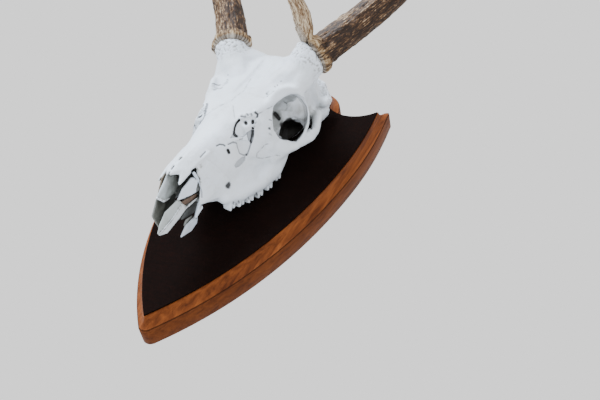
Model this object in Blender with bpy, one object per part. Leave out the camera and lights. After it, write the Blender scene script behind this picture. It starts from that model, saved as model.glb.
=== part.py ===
# Deer skull mount: a buck's skull with its antlers on a shield-shaped hardwood board
# with a dark felt field. Metres, +Z up, front towards -Y, back of the board on Y = 0.
# The origin is the hanging point on the board's back.

import math

import bmesh
import bpy
from mathutils import Matrix, Vector

for old in list(bpy.data.objects):
    bpy.data.objects.remove(old, do_unlink=True)

# Shield board
BOARD_THICKNESS = 0.0295
FIELD_HALF_WIDTH = 0.094
FIELD_DROP = 0.285
FIELD_SHOULDER = 0.068
SHOULDER_TUCK = 0.0043
SIDE_POWER = 1.85
SIDE_POWER_GAIN = 0.65
SCOOP_IN = 0.0308
SCOOP_UP = 0.0933
CREST_HALF_WIDTH = 0.030
CREST_RISE = 0.040
CREST_FOOT_UP = 0.059
CREST_SEARCH = 0.3
RIM_WIDTH = 0.009
COVE_DEPTH = 0.0100
COVE_LIP = 0.0008
QUIRK_WIDTH = 0.0012
QUIRK_IN = 0.0010
BACK_EASE = 0.0012
HORN_REACH = 2.1
HORN_STEPS = 6
HANG_ABOVE_WIDEST = 0.040

# Felt field
FELT_THICKNESS = 0.0015
GAP = 0.0003

# Skull: its shapes are given in millimetres of a skull SKULL_NOMINAL long
# (forward, to its left, up), and follow SKULL_LENGTH
SKULL_LENGTH = 0.280
SKULL_NOMINAL = 280.0
SKULL_TILT = math.radians(17.5)
SKULL_CENTRE = Vector((120.0, 0.0, 70.0))
SKULL_STANDOFF = 62.0
SKULL_BELOW_WIDEST = 0.055
BONE_VOXEL = 0.0013
SKULL_TRIANGLES = 5200

# Antlers
BURR_RADIUS = 21.8
BURR_BEAD = 4.2
BURR_BEADS = 17
BEAM_RADIUS = 17.5
BROW_TINE_RADIUS = 9.2
TINE_RADIUS = 10.5
ANTLER_VOXEL = 0.0017
ANTLER_TRIANGLES = 1080
TIP_RADIUS = 2.6

# Finishes: red, green, blue, roughness
WOOD_COLOUR = (0.30, 0.085, 0.022, 0.38)
FELT_COLOUR = (0.012, 0.007, 0.006, 0.95)
BONE_COLOUR = (0.78, 0.80, 0.84, 0.55)
ANTLER_COLOUR = (0.24, 0.15, 0.085, 0.7)

FELT_FRONT = BOARD_THICKNESS + GAP + FELT_THICKNESS
SKULL_SCALE = SKULL_LENGTH / SKULL_NOMINAL


def finish(name, colour):
    # One Principled material, set on the shader's own sockets
    material = bpy.data.materials.new(name)
    material.use_nodes = True
    shader = material.node_tree.nodes["Principled BSDF"]
    shader.inputs["Base Color"].default_value = (*colour[:3], 1.0)
    shader.inputs["Roughness"].default_value = colour[3]
    shader.inputs["Metallic"].default_value = 0.0
    return material


def add_object(name, bm, material):
    mesh = bpy.data.meshes.new(name)
    bm.to_mesh(mesh)
    bm.free()
    piece = bpy.data.objects.new(name, mesh)
    bpy.context.collection.objects.link(piece)
    if material:
        mesh.materials.append(material)
    return piece


def hide_tool(piece):
    piece.hide_render = True
    piece.display_type = "WIRE"


# Shield outline: X to the right, Z up from the line where the field is widest

def side_width(share):
    # Half width of the field at a share of its drop, 0 at the widest line and 1 at the tip
    return FIELD_HALF_WIDTH * (1.0 - share ** (SIDE_POWER + SIDE_POWER_GAIN * share))


def side_normal(share):
    step = 0.0005
    narrowing = (side_width(share - step) - side_width(share + step)) / (2 * step * FIELD_DROP)
    return Vector((1.0, -narrowing)).normalized()


def shield_half(grow, side_steps=16, arc_steps=8, join_steps=5):
    # Right half of the field's outline moved outwards by grow, from the tip to the crest's top
    tip_normal = side_normal(0.999)
    tip_turn = math.atan2(tip_normal.x, -tip_normal.y)
    points = []
    for step in range(join_steps):
        turn = tip_turn * step / join_steps
        points.append((grow * math.sin(turn), -FIELD_DROP - grow * math.cos(turn)))
    for step in range(side_steps + 1):
        share = 0.999 * (1.0 - (step / side_steps) ** 0.85) + 0.001
        normal = side_normal(share)
        points.append((side_width(share) + normal.x * grow, -FIELD_DROP * share + normal.y * grow))
    for step in range(1, join_steps):
        share = step / (join_steps - 1)
        normal = Vector((1.0, 2.0 * SHOULDER_TUCK * share / FIELD_SHOULDER)).normalized()
        points.append((FIELD_HALF_WIDTH - SHOULDER_TUCK * share ** 2 + normal.x * grow,
                       FIELD_SHOULDER * share + normal.y * grow))
    # Round the shoulder's horn, then along the scoop and up the crest
    corner = Vector((FIELD_HALF_WIDTH - SHOULDER_TUCK, FIELD_SHOULDER))
    centre = Vector((corner.x - SCOOP_IN, SCOOP_UP))
    first = math.atan2(2.0 * SHOULDER_TUCK / FIELD_SHOULDER, 1.0)
    last = math.atan2(centre.y - corner.y, centre.x - corner.x)
    for step in range(1, HORN_STEPS):
        turn = first + (last - first) * step / HORN_STEPS
        # A mitred horn, its point slightly rounded off
        reach = grow / max(math.cos(turn - first), math.cos(last - turn), 1.0 / HORN_REACH)
        points.append((corner.x + reach * math.cos(turn), corner.y + reach * math.sin(turn)))
    radius = (centre - corner).length - grow
    low, high = 0.0, CREST_SEARCH
    for _ in range(40):
        middle = (low + high) / 2
        if (crest_point(middle, grow) - centre).length < radius:
            high = middle
        else:
            low = middle
    crest = crest_point(low, grow)
    start = math.atan2(corner.y - centre.y, corner.x - centre.x)
    end = math.atan2(crest.y - centre.y, crest.x - centre.x)
    if end > start:
        end -= 2 * math.pi
    for step in range(arc_steps + 1):
        turn = start + (end - start) * step / arc_steps
        points.append((centre.x + radius * math.cos(turn), centre.y + radius * math.sin(turn)))
    for step in range(1, arc_steps + 1):
        point = crest_point(low + (1.0 - low) * step / arc_steps, grow)
        points.append((point.x, point.y))
    return points


def crest_point(share, grow):
    # The crest is half an ellipse: share 0 at its foot, 1 at its top
    turn = share * math.pi / 2
    return Vector(((CREST_HALF_WIDTH + grow) * math.cos(turn),
                   CREST_FOOT_UP + (CREST_RISE + grow) * math.sin(turn)))


def shield_ring(bm, grow, depth):
    # One closed ring of vertices at a distance behind or before the back face
    half = shield_half(grow)
    whole = half + [(-x, z) for x, z in reversed(half[1:-1])]
    return [bm.verts.new((x, -depth, z - HANG_ABOVE_WIDEST)) for x, z in whole]


def bridge_rings(bm, rings, close_first=True, close_last=True):
    for lower, upper in zip(rings, rings[1:]):
        count = len(lower)
        for index in range(count):
            following = (index + 1) % count
            bm.faces.new((lower[index], lower[following], upper[following], upper[index]))
    if close_first:
        bm.faces.new(list(reversed(rings[0])))
    if close_last:
        bm.faces.new(rings[-1])
    bmesh.ops.remove_doubles(bm, verts=bm.verts, dist=0.00002)
    bmesh.ops.recalc_face_normals(bm, faces=bm.faces)


def make_board():
    # Profile of the edge, from the back face to the front: eased arris, side band,
    # quirk, cove and the lip beside the felt
    band_top = BOARD_THICKNESS - COVE_DEPTH - QUIRK_WIDTH
    profile = [(RIM_WIDTH - BACK_EASE, 0.0), (RIM_WIDTH, BACK_EASE), (RIM_WIDTH, band_top),
               (RIM_WIDTH - QUIRK_IN, band_top + QUIRK_WIDTH * 0.5), (RIM_WIDTH - QUIRK_IN, band_top + QUIRK_WIDTH)]
    cove_width = RIM_WIDTH - QUIRK_IN - COVE_LIP
    for step in range(1, 5):
        turn = math.radians(18 + 72 * step / 4)
        start = math.radians(18)
        out = (math.sin(turn) - math.sin(start)) / (1.0 - math.sin(start))
        rise = (math.cos(start) - math.cos(turn)) / math.cos(start)
        profile.append((COVE_LIP + cove_width * (1.0 - out), band_top + QUIRK_WIDTH + COVE_DEPTH * rise))
    bm = bmesh.new()
    bridge_rings(bm, [shield_ring(bm, grow, depth) for grow, depth in profile])
    return add_object("shield_plaque", bm, finish("hardwood", WOOD_COLOUR))


def make_felt():
    back = BOARD_THICKNESS + GAP
    bm = bmesh.new()
    rings = [shield_ring(bm, 0.0, back), shield_ring(bm, 0.0, FELT_FRONT)]
    bridge_rings(bm, rings)
    return add_object("felt_field", bm, finish("felt", FELT_COLOUR))


# Skull frame

def to_world(point):
    # From skull millimetres (forward, left, up) to metres on the wall
    offset = (Vector(point) - SKULL_CENTRE) * SKULL_SCALE
    out = offset.x * math.sin(SKULL_TILT) + offset.z * math.cos(SKULL_TILT) + SKULL_STANDOFF * SKULL_SCALE
    up = -offset.x * math.cos(SKULL_TILT) + offset.z * math.sin(SKULL_TILT)
    return Vector((offset.y, -FELT_FRONT - out, up - SKULL_BELOW_WIDEST - HANG_ABOVE_WIDEST))


def mirrored(balls):
    return [(a, -l, d, r) for a, l, d, r in balls]


def hull(target, balls):
    # The tight skin around a few balls (forward, left, up, radius)
    bm = bmesh.new()
    for a, l, d, r in balls:
        bmesh.ops.create_icosphere(bm, subdivisions=2, radius=r * SKULL_SCALE,
                                   matrix=Matrix.Translation(to_world((a, l, d))))
    made = bmesh.ops.convex_hull(bm, input=bm.verts)
    spare = {item for item in made["geom_interior"] + made["geom_unused"] if isinstance(item, bmesh.types.BMVert)}
    bmesh.ops.delete(bm, geom=list(spare), context="VERTS")
    loose = [vertex for vertex in bm.verts if not vertex.link_faces]
    bmesh.ops.delete(bm, geom=loose, context="VERTS")
    bmesh.ops.recalc_face_normals(bm, faces=bm.faces)
    mesh = bpy.data.meshes.new("hull")
    bm.to_mesh(mesh)
    bm.free()
    target.from_mesh(mesh)
    bpy.data.meshes.remove(mesh)


def chain(target, balls):
    # A bar that runs through balls one after another
    for first, second in zip(balls, balls[1:]):
        hull(target, [first, second])


def both(maker, target, balls):
    maker(target, balls)
    maker(target, mirrored(balls))


def loft(target, stations, sides=40):
    # Rounded sections along the skull: forward, top, bottom, half width at the top and
    # at the bottom, and how square the section is
    rings = []
    for a, top, bottom, wide_top, wide_bottom, power in stations:
        ring = []
        for step in range(sides):
            turn = 2 * math.pi * step / sides
            up = math.sin(turn)
            out = math.cos(turn)
            rise = math.copysign(abs(up) ** (2 / power), up)
            share = (rise + 1) / 2
            width = wide_bottom + (wide_top - wide_bottom) * share
            l = math.copysign(abs(out) ** (2 / power), out) * width
            d = bottom + (top - bottom) * share
            ring.append(target.verts.new(to_world((a, l, d))))
        rings.append(ring)
    made = []
    for lower, upper in zip(rings, rings[1:]):
        for index in range(sides):
            following = (index + 1) % sides
            made.append(target.faces.new((lower[index], lower[following], upper[following], upper[index])))
    made.append(target.faces.new(list(reversed(rings[0]))))
    made.append(target.faces.new(rings[-1]))
    bmesh.ops.recalc_face_normals(target, faces=made)


# Forward, top, bottom, half width at top and bottom, squareness
HEAD = [
    (238, 70, 24, 14, 18, 2.8),
    (222, 74, 16, 15, 21, 2.8),
    (206, 78, 12, 17.5, 32, 2.9),
    (186, 84, 11, 23, 37, 3.0),
    (168, 91, 11, 25, 42, 3.0),
    (150, 97, 12, 37, 38, 3.0),
    (134, 101, 15, 37, 32, 3.0),
    (118, 104, 20, 32, 23, 2.6),
    (95, 108, 22, 30, 22, 2.4),
    (72, 117, 22, 34, 26, 2.3),
    (48, 119, 24, 37, 32, 2.2),
    (26, 110, 30, 37, 34, 2.2),
    (8, 94, 38, 31, 32, 2.2),
    (-6, 78, 45, 20, 24, 2.2),
]
BROW = [
    (176, 86, 80, 19, 19, 2.4),
    (160, 93, 80, 28, 29, 2.5),
    (146, 98, 84, 35, 36, 2.6),
    (128, 103, 90, 41, 42, 2.8),
    (110, 107, 94, 47, 47, 3.0),
    (95, 111, 94, 50, 49, 3.0),
    (80, 116, 95, 49, 46, 3.0),
    (64, 121, 98, 44, 42, 2.6),
    (50, 121, 100, 36, 36, 2.4),
]
ORBIT_CENTRE = Vector((112.8, 45.6, 75.9))
ORBIT_AXES = (Vector((40.0, -21.0, 12.0)).normalized(), Vector((-8.0, -1.0, 51.0)).normalized())
ORBIT_RADII = (25.0, 27.5)
ORBIT_BAR = 4.2
PEDICLE = [(90, 27, 98, 19), (78, 37, 109, 18.5), (66, 46.5, 122.5, 17.5)]
PEDICLE_WEB = [(96, 46, 100, 8), (84, 45, 104, 12), (68, 46, 119, 16), (72, 38, 119, 13), (60, 30, 116, 13),
               (56, 18, 112, 12), (52, 26, 106, 12)]
TOOTH_ROW = [(201, 25.5), (188, 28), (174, 30.5), (159, 33), (143, 35), (127, 36.5)]
TOOTH_LENGTH = 13.0
TOOTH_CROWN = [15.5, 16.5, 17.5, 17.5, 15.0, 10.0]


def orbit_ring():
    balls = []
    for step in range(25):
        turn = 2 * math.pi * step / 24
        place = (ORBIT_CENTRE + ORBIT_AXES[0] * math.cos(turn) * (ORBIT_RADII[0] + ORBIT_BAR * 0.8)
                 + ORBIT_AXES[1] * math.sin(turn) * (ORBIT_RADII[1] + ORBIT_BAR * 0.8))
        balls.append((*place, ORBIT_BAR))
    return balls


def add_teeth(target, side):
    for (a, l), crown in zip(TOOTH_ROW, TOOTH_CROWN):
        half = TOOTH_LENGTH * 0.5
        root = 19.0
        for shift in (-0.25, 0.25):
            cusp = [(a + shift * TOOTH_LENGTH, side * l, root, 3.6),
                    (a + shift * TOOTH_LENGTH, side * (l + 1.5), root - crown + 2.5, 1.8),
                    (a + shift * TOOTH_LENGTH, side * (l - 4.0), root - crown + 4.0, 2.0),
                    (a + shift * half * 0.4, side * (l - 4.0), root, 4.0)]
            hull(target, cusp)


def skull_mass():
    # The head's main masses, which are smoothed together before they are hollowed
    bm = bmesh.new()
    loft(bm, HEAD)
    loft(bm, BROW)
    both(chain, bm, orbit_ring())
    both(chain, bm, PEDICLE)
    both(hull, bm, PEDICLE_WEB)
    # Cheek in front of the eye socket
    both(hull, bm, [(129, 36, 86, 5), (127, 41, 60, 5), (167, 24, 80, 6), (170, 30, 54, 6), (142, 37, 40, 6)])
    both(hull, bm, [(150, 33, 30, 6), (128, 40, 40, 6), (116, 47, 46, 4.5), (127, 41, 60, 5), (165, 31, 40, 6)])
    # Cheek arch, from under the socket back to the temple, and the foot of the bar behind the socket
    both(chain, bm, [(140, 38, 38, 6.5), (120, 46, 43, 5.5), (102, 52, 45, 5.5), (84, 56, 46, 5), (68, 53, 47, 5),
                     (50, 46, 50, 5.5), (34, 38, 54, 7)])
    both(hull, bm, [(84, 56, 52, 4), (84, 56, 46, 4.5), (70, 53, 48, 4.5), (100, 53, 47, 4.5)])
    # Crest at the nape, ear knobs
    both(chain, bm, [(2, 36, 60, 5.5), (-2, 27, 76, 5.5), (-4, 0, 84, 7)])
    both(chain, bm, [(26, 31, 46, 9), (10, 34, 50, 8)])
    both(chain, bm, [(18, 37, 62, 6), (4, 37, 60, 5)])
    # Gums over the teeth
    both(chain, bm, [(208, 23, 18, 6), (186, 28, 15, 7.5), (156, 32, 16, 8), (138, 35, 20, 8)])
    both(hull, bm, [(156, 32, 16, 8), (138, 35, 20, 8), (122, 37, 24, 6), (118, 41, 36, 5.5), (140, 37, 38, 6)])
    piece = add_object("skull_mass", bm, None)
    hide_tool(piece)
    add_remesh(piece, BONE_VOXEL)
    add_smooth(piece, 0.5, 12)
    return piece


def skull_details():
    # Teeth and the thin bones of the snout
    bm = bmesh.new()
    for side in (1, -1):
        add_teeth(bm, side)
    # Nose bones over the opening, each with a long outer prong
    both(hull, bm, [(215, 2, 74, 2), (250, 2, 66.5, 1.7), (215, 14, 67, 2), (247, 12, 60, 1.7)])
    both(hull, bm, [(250, 2, 66.5, 1.7), (257, 2, 64.5, 1.5), (252, 6, 63.5, 1.6), (247, 12, 60, 1.7)])
    both(hull, bm, [(250, 7, 63, 1.6), (247, 13, 59, 1.7), (262, 11.5, 52.5, 1.4)])
    # Snout bars: whole on the right, worn to a thin bar with a loose end on the left
    chain(bm, [(234, 15.5, 57, 2.4), (238, 17.5, 45, 2.8), (239, 18, 34, 2.8), (245, 16.5, 22, 2.4), (248, 15, 14, 2)])
    hull(bm, [(247, 14.5, 12, 1.8), (251, 12.5, 4, 1.8), (265, 10, 1, 1.4), (257, 9, 7, 1.5)])
    hull(bm, [(247, 14.5, 14, 1.8), (254, 9.5, 14, 1.5), (257, 9, 7, 1.5)])
    hull(bm, [(236, -15, 54, 2), (230, -17, 32, 2.5), (268, -13, 37, 1.5), (277, -12, 22, 1.5), (273, -9, 8, 1.5),
              (244, -15, 18, 2.5)])
    both(chain, bm, [(222, 14, 18, 5), (238, 15.5, 20, 3), (248, 14.5, 13, 2)])
    # Blade that runs down the floor of the nose to the tips
    hull(bm, [(244, 13, 50, 1.7), (257, 8, 41, 1.6), (238, 15, 33, 2), (250, 6, 26, 1.8)])
    hull(bm, [(257, 8, 41, 1.6), (240, 12, 30, 2), (246, 5, 21, 2.2), (276, 3, 26, 1.5)])
    hull(bm, [(246, 5, 21, 2.4), (276, 3, 26, 1.5), (266, 3, 10, 2), (285, 1, 11, 1.5), (283, 2, 6, 1.8)])
    hull(bm, [(225, 4, 24, 4), (225, -4, 24, 4), (248, 4, 20, 2.4), (266, -2, 9, 2), (282, -2, 8, 1.5)])
    # Scroll inside the nose
    hull(bm, [(258, -2, 57, 1.6), (250, 2, 47, 1.6), (264, -8, 40, 1.5), (262, -8, 33, 1.5), (238, -3, 52, 2)])
    return add_object("skull", bm, finish("bone", BONE_COLOUR))


def bone_hollows():
    bm = bmesh.new()
    # Nose
    chain(bm, [(290, 0, 38, 14), (262, 0, 42, 13)])
    hull(bm, [(262, 7, 44, 5), (262, -7, 44, 5), (232, 9, 58, 5), (232, -9, 58, 5), (230, 8, 36, 6), (230, -8, 36, 6),
              (250, 8, 28, 5), (250, -8, 28, 5), (200, 4, 62, 6), (200, -4, 62, 6), (200, 5, 40, 6), (200, -5, 40, 6)])
    # Eye sockets, open below and behind into the temples
    for side in (1, -1):
        outward = ORBIT_AXES[0].cross(ORBIT_AXES[1])
        if outward.y < 0:
            outward.negate()
        mouth = ORBIT_CENTRE + outward * 14
        deep = ORBIT_CENTRE - outward * 6 + Vector((-4.0, 0.0, -1.0))
        floor = ORBIT_CENTRE - outward * 15 + Vector((-6.0, 0.0, -4.0))
        socket = [(*mouth, 24.0), (*deep, 24.5), (*floor, 18.0)]
        if side < 0:
            socket = mirrored(socket)
        chain(bm, socket)
        chain(bm, [(96, side * 34, 72, 15), (78, side * 41, 66, 13), (60, side * 44, 70, 9)])
        hull(bm, [(104, side * 38, 60, 12), (98, side * 38, 30, 12), (76, side * 42, 60, 9), (76, side * 40, 30, 10)])
        # The way from the socket down behind the cheek arch
        chain(bm, [(98, side * 50, 60, 12), (82, side * 41, 52, 14), (66, side * 33, 44, 13), (58, side * 30, 34, 12),
                   (56, side * 30, 12, 12)])
    # Tear pits in front of the sockets, each with a crack running forward
    both(hull, bm, [(176, 35, 73, 4), (166, 34, 82, 4), (161, 39, 62, 4), (158, 37, 79, 3.5), (166, 42, 54, 3),
                    (168, 28, 72, 5)])
    both(hull, bm, [(180, 34, 84, 2.5), (190, 31, 90, 2), (174, 33, 80, 3)])
    # Palate between the rows of teeth
    hull(bm, [(214, 0, 4, 8), (200, 12, 4, 8), (200, -12, 4, 8), (118, 17, 6, 9), (118, -17, 6, 9), (100, 0, 8, 10)])
    # Slits in the floor of the nose, behind the tips
    both(hull, bm, [(262, 8, 14, 2.6), (240, 9, 20, 3), (240, 9, 2, 3), (262, 8, -4, 2.6)])
    both(chain, bm, [(207, 34, 31, 2), (201, 22, 33, 2)])
    piece = add_object("skull_hollows", bm, None)
    hide_tool(piece)
    add_remesh(piece, BONE_VOXEL)
    return piece


def add_remesh(piece, voxel):
    remesh = piece.modifiers.new("skin", "REMESH")
    remesh.mode = "VOXEL"
    remesh.voxel_size = voxel
    remesh.adaptivity = 0.0


def add_smooth(piece, factor, rounds):
    smooth = piece.modifiers.new("soften", "SMOOTH")
    smooth.factor = factor
    smooth.iterations = rounds


def add_decimate(piece, triangles):
    # Collapse to a named number of triangles
    graph = bpy.context.evaluated_depsgraph_get()
    shape = piece.evaluated_get(graph).to_mesh()
    shape.calc_loop_triangles()
    count = len(shape.loop_triangles)
    piece.evaluated_get(graph).to_mesh_clear()
    decimate = piece.modifiers.new("facets", "DECIMATE")
    decimate.ratio = min(1.0, triangles / count)
    decimate.use_collapse_triangulate = True


def add_boolean(piece, tool, operation):
    boolean = piece.modifiers.new("shape", "BOOLEAN")
    boolean.operation = operation
    boolean.solver = "EXACT"
    boolean.object = tool


def felt_plane_tool():
    # Everything behind the felt's face and its gap
    bm = bmesh.new()
    reach = SKULL_LENGTH * 2
    front = -FELT_FRONT - GAP
    bmesh.ops.create_cube(bm, size=1.0, matrix=Matrix.Translation((0.0, front + reach / 2, 0.0))
                          @ Matrix.Diagonal((reach * 2, reach, reach * 2, 1.0)))
    piece = add_object("felt_plane", bm, None)
    hide_tool(piece)
    return piece


def make_skull():
    mass = skull_mass()
    add_boolean(mass, bone_hollows(), "DIFFERENCE")
    skull = skull_details()
    add_remesh(skull, BONE_VOXEL)
    add_boolean(skull, mass, "UNION")
    add_remesh(skull, BONE_VOXEL)
    add_smooth(skull, 0.5, 2)
    add_decimate(skull, SKULL_TRIANGLES)
    add_boolean(skull, felt_plane_tool(), "DIFFERENCE")
    return skull


# Antlers, in skull millimetres for the skull's left; the right one's points are mirrored

SEAT = Vector((63.0, 49.5, 127.5))
BEAMS = {
    "antler_left": [SEAT, Vector((-52.0, 132.0, 194.0)), Vector((-74.0, 220.0, 296.0)), Vector((80.0, 196.0, 372.0))],
    "antler_right": [SEAT, Vector((-38.0, 104.0, 205.0)), Vector((-66.0, 214.0, 300.0)), Vector((84.0, 190.0, 372.0))],
}
BROW_TINE = [Vector((74.0, 38.0, 134.0)), Vector((66.0, 50.0, 162.0)), Vector((74.0, 44.0, 190.0)),
             Vector((94.0, 26.0, 216.0))]
# Share along the beam, lean of the first stretch and reach of the tip
TINES = [(0.36, Vector((10.0, 20.0, 60.0)), Vector((38.0, 6.0, 140.0))),
         (0.68, Vector((6.0, 4.0, 50.0)), Vector((34.0, -16.0, 112.0)))]
FORK_REACH = 0.14


def bezier(points, share):
    rest = 1.0 - share
    weights = (rest ** 3, 3 * rest ** 2 * share, 3 * rest * share ** 2, share ** 3)
    return sum((point * weight for point, weight in zip(points, weights)), Vector((0.0, 0.0, 0.0)))


def antler_balls(points, start_radius, end_radius, steps, taper=1.0):
    balls = []
    for step in range(steps + 1):
        share = step / steps
        radius = end_radius + (start_radius - end_radius) * (1.0 - share) ** taper
        balls.append((*bezier(points, share), radius))
    return balls


def tine_on_beam(points, share, lean, reach):
    root = bezier(points, share)
    return [root, root + lean * 0.5, root + lean, root + reach]


def make_antler(name, side):
    points = BEAMS[name]
    along = (points[1] - points[0]).normalized()
    across = along.cross(Vector((1.0, 0.0, 0.0))).normalized()
    beside = along.cross(across).normalized()
    ring = []
    for step in range(BURR_BEADS):
        turn = 2 * math.pi * step / BURR_BEADS
        out = BURR_RADIUS - BURR_BEAD
        place = SEAT + along * BURR_BEAD + (across * math.cos(turn) + beside * math.sin(turn)) * out
        ring.append((*place, BURR_BEAD * (0.95 if step % 2 else 1.1)))
    groups = [[(a, l, d, r - 1.0) for a, l, d, r in ring]]
    groups += [[bead, (*(Vector(bead[:3]) + along * 1.5), bead[3])] for bead in ring]
    beam = antler_balls(points, BEAM_RADIUS, TIP_RADIUS, 26, 0.42)
    beam[0] = (*(SEAT + along * 7), BEAM_RADIUS)
    runs = [beam]
    if side > 0:
        runs.append(antler_balls(BROW_TINE, BROW_TINE_RADIUS, TIP_RADIUS, 8, 0.6))
    for share, lean, reach in TINES:
        tine = antler_balls(tine_on_beam(points, share, lean, reach), TINE_RADIUS, TIP_RADIUS, 8, 0.8)
        runs.append(tine)
        # The beam broadens towards each fork
        groups.append([(*bezier(points, share - FORK_REACH), TINE_RADIUS * 1.25), tine[1], tine[3],
                       (*bezier(points, share + FORK_REACH / 2), TINE_RADIUS)])
    bm = bmesh.new()
    for balls in groups:
        hull(bm, balls if side > 0 else mirrored(balls))
    for balls in runs:
        chain(bm, balls if side > 0 else mirrored(balls))
    piece = add_object(name, bm, finish(name, ANTLER_COLOUR))
    ends = [SEAT + along * 0.6, SEAT + along * 20.0]
    seat, ahead = [to_world((point.x, point.y * side, point.z)) for point in ends]
    add_remesh(piece, ANTLER_VOXEL)
    add_smooth(piece, 0.5, 2)
    add_decimate(piece, ANTLER_TRIANGLES)
    return piece, seat, (ahead - seat).normalized()


def seat_tool(name, seat, direction, offset):
    # A block whose top face lies in the seat's plane, lifted by offset
    bm = bmesh.new()
    turn = direction.to_track_quat("Z", "Y").to_matrix().to_4x4()
    size = BURR_RADIUS * SKULL_SCALE * 3.0
    place = Matrix.Translation(seat) @ turn @ Matrix.Translation((0.0, 0.0, offset - size / 2))
    bmesh.ops.create_cube(bm, size=size, matrix=place)
    piece = add_object(name, bm, None)
    hide_tool(piece)
    return piece


def main():
    make_board()
    make_felt()
    skull = make_skull()
    for name, side in (("antler_left", 1), ("antler_right", -1)):
        antler, seat, direction = make_antler(name, side)
        add_boolean(antler, seat_tool(name + "_foot", seat, direction, GAP / 2), "DIFFERENCE")
        size = BURR_RADIUS * SKULL_SCALE * 3.0
        add_boolean(skull, seat_tool(name + "_seat", seat, direction, size - GAP / 2), "DIFFERENCE")


main()
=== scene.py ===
import math

import bpy
import numpy as np
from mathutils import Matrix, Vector, kdtree, noise
from mathutils.bvhtree import BVHTree


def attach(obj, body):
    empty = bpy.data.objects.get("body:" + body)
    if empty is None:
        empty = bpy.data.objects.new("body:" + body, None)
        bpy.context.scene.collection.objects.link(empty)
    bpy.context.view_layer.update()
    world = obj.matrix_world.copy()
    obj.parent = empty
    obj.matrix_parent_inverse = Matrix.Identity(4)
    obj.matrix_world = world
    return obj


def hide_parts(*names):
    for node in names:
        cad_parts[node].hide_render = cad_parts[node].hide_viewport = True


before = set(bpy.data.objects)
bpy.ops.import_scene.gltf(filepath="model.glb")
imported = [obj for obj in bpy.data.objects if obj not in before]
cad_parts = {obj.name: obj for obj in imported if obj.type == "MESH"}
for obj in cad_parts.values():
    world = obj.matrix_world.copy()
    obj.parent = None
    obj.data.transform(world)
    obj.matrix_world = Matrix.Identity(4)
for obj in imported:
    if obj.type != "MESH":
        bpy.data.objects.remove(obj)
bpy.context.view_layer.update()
print("frame loaded")

# Deer skull mount on a shield board, in metres: x to the viewer's right, y into the wall,
# z up. The origin is the hanging point on the board's back.

# The skull's own frame is in millimetres: forward, to its left and up from its palate
skullFrame = {
    "centre": (120.0, 0.0, 70.0),
    "tilt": 17.5,          # degrees the palate leans off the board
    "standOff": 62.0,      # centre above the felt
    "drop": 95.0,          # centre below the hanging point
    "feltFront": 31.3,     # felt's face before the wall
}


def toWorld(point):
    tilt = math.radians(skullFrame["tilt"])
    forward, left, up = (Vector(point) - Vector(skullFrame["centre"])) / 1000
    out = (forward * math.sin(tilt) + up * math.cos(tilt)
           + (skullFrame["standOff"] + skullFrame["feltFront"]) / 1000)
    rise = up * math.sin(tilt) - forward * math.cos(tilt) - skullFrame["drop"] / 1000
    return Vector((left, -out, rise))


def toSkull(places):
    # The other way round, for an array of world places
    tilt = math.radians(skullFrame["tilt"])
    out = -places[:, 1] * 1000 - skullFrame["standOff"] - skullFrame["feltFront"]
    rise = places[:, 2] * 1000 + skullFrame["drop"]
    forward = out * math.sin(tilt) - rise * math.cos(tilt)
    up = out * math.cos(tilt) + rise * math.sin(tilt)
    return np.stack([forward, places[:, 0] * 1000, up], axis=1) + np.array(skullFrame["centre"])


# Camera, light and floor

cameraSettings = {
    "place": (884.813, 476.684, 367.575),        # in the skull's frame
    "turn": (135.957, -25.7446, 10.9629),        # degrees
    "lens": 54.0,
    "sensor": 36.0,
    "photoSize": (600, 400),
}


def addCamera():
    bpy.ops.object.camera_add(location=toWorld(cameraSettings["place"]))
    camera = bpy.context.active_object
    camera.name = "camera"
    camera.rotation_euler = [math.radians(angle) for angle in cameraSettings["turn"]]
    camera.data.lens = cameraSettings["lens"]
    camera.data.sensor_width = cameraSettings["sensor"]
    camera.data.clip_end = 20.0
    bpy.context.scene.camera = camera
    bpy.context.view_layer.update()
    return camera


lightSettings = {
    "world": (1.0, 1.0, 1.0, 1.0),
    "worldStrength": 1.3,
    # name: place, aim, size, watts, colour
    "lamps": {
        "keyLight": ((-1.1, -1.9, 0.9), (0.0, -0.1, -0.1), 1.2, 118.0, (0.80, 0.90, 1.0)),
        "fillLight": ((1.4, -1.6, -0.5), (0.0, -0.1, -0.1), 1.6, 8.0, (1.0, 1.0, 1.0)),
    },
    "floorDrop": 1.6,
    "floorSize": 8.0,
    "floorColour": (0.82, 0.82, 0.81, 1.0),
}


def addLights():
    for name, (place, aim, size, watts, colour) in lightSettings["lamps"].items():
        bpy.ops.object.light_add(type="AREA", location=place)
        lamp = bpy.context.active_object
        lamp.name = name
        lamp.data.size = size
        lamp.data.energy = watts
        lamp.data.color = colour
        lamp.rotation_euler = (Vector(aim) - Vector(place)).to_track_quat("-Z", "Y").to_euler()
    world = bpy.data.worlds.new("paleWorld")
    world.use_nodes = True
    world.node_tree.nodes["Background"].inputs["Color"].default_value = lightSettings["world"]
    world.node_tree.nodes["Background"].inputs["Strength"].default_value = lightSettings["worldStrength"]
    bpy.context.scene.world = world


def addFloor():
    bpy.ops.mesh.primitive_plane_add(size=lightSettings["floorSize"],
                                     location=(0, 0, -lightSettings["floorDrop"]))
    floor = bpy.context.active_object
    floor.name = "floor"
    tree, shader = newMaterial(floor, "palePaper")
    shader.inputs["Base Color"].default_value = lightSettings["floorColour"]
    shader.inputs["Roughness"].default_value = 0.9


# Small helpers for modelling

def deselectAll():
    if bpy.context.object and bpy.context.object.mode != "OBJECT":
        bpy.ops.object.mode_set(mode="OBJECT")
    bpy.ops.object.select_all(action="DESELECT")


def selectOnly(piece):
    deselectAll()
    piece.select_set(True)
    bpy.context.view_layer.objects.active = piece


def placeInMesh(piece):
    # Put the object's place and turn into its mesh
    selectOnly(piece)
    bpy.ops.object.transform_apply(location=True, rotation=True, scale=True)


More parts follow.
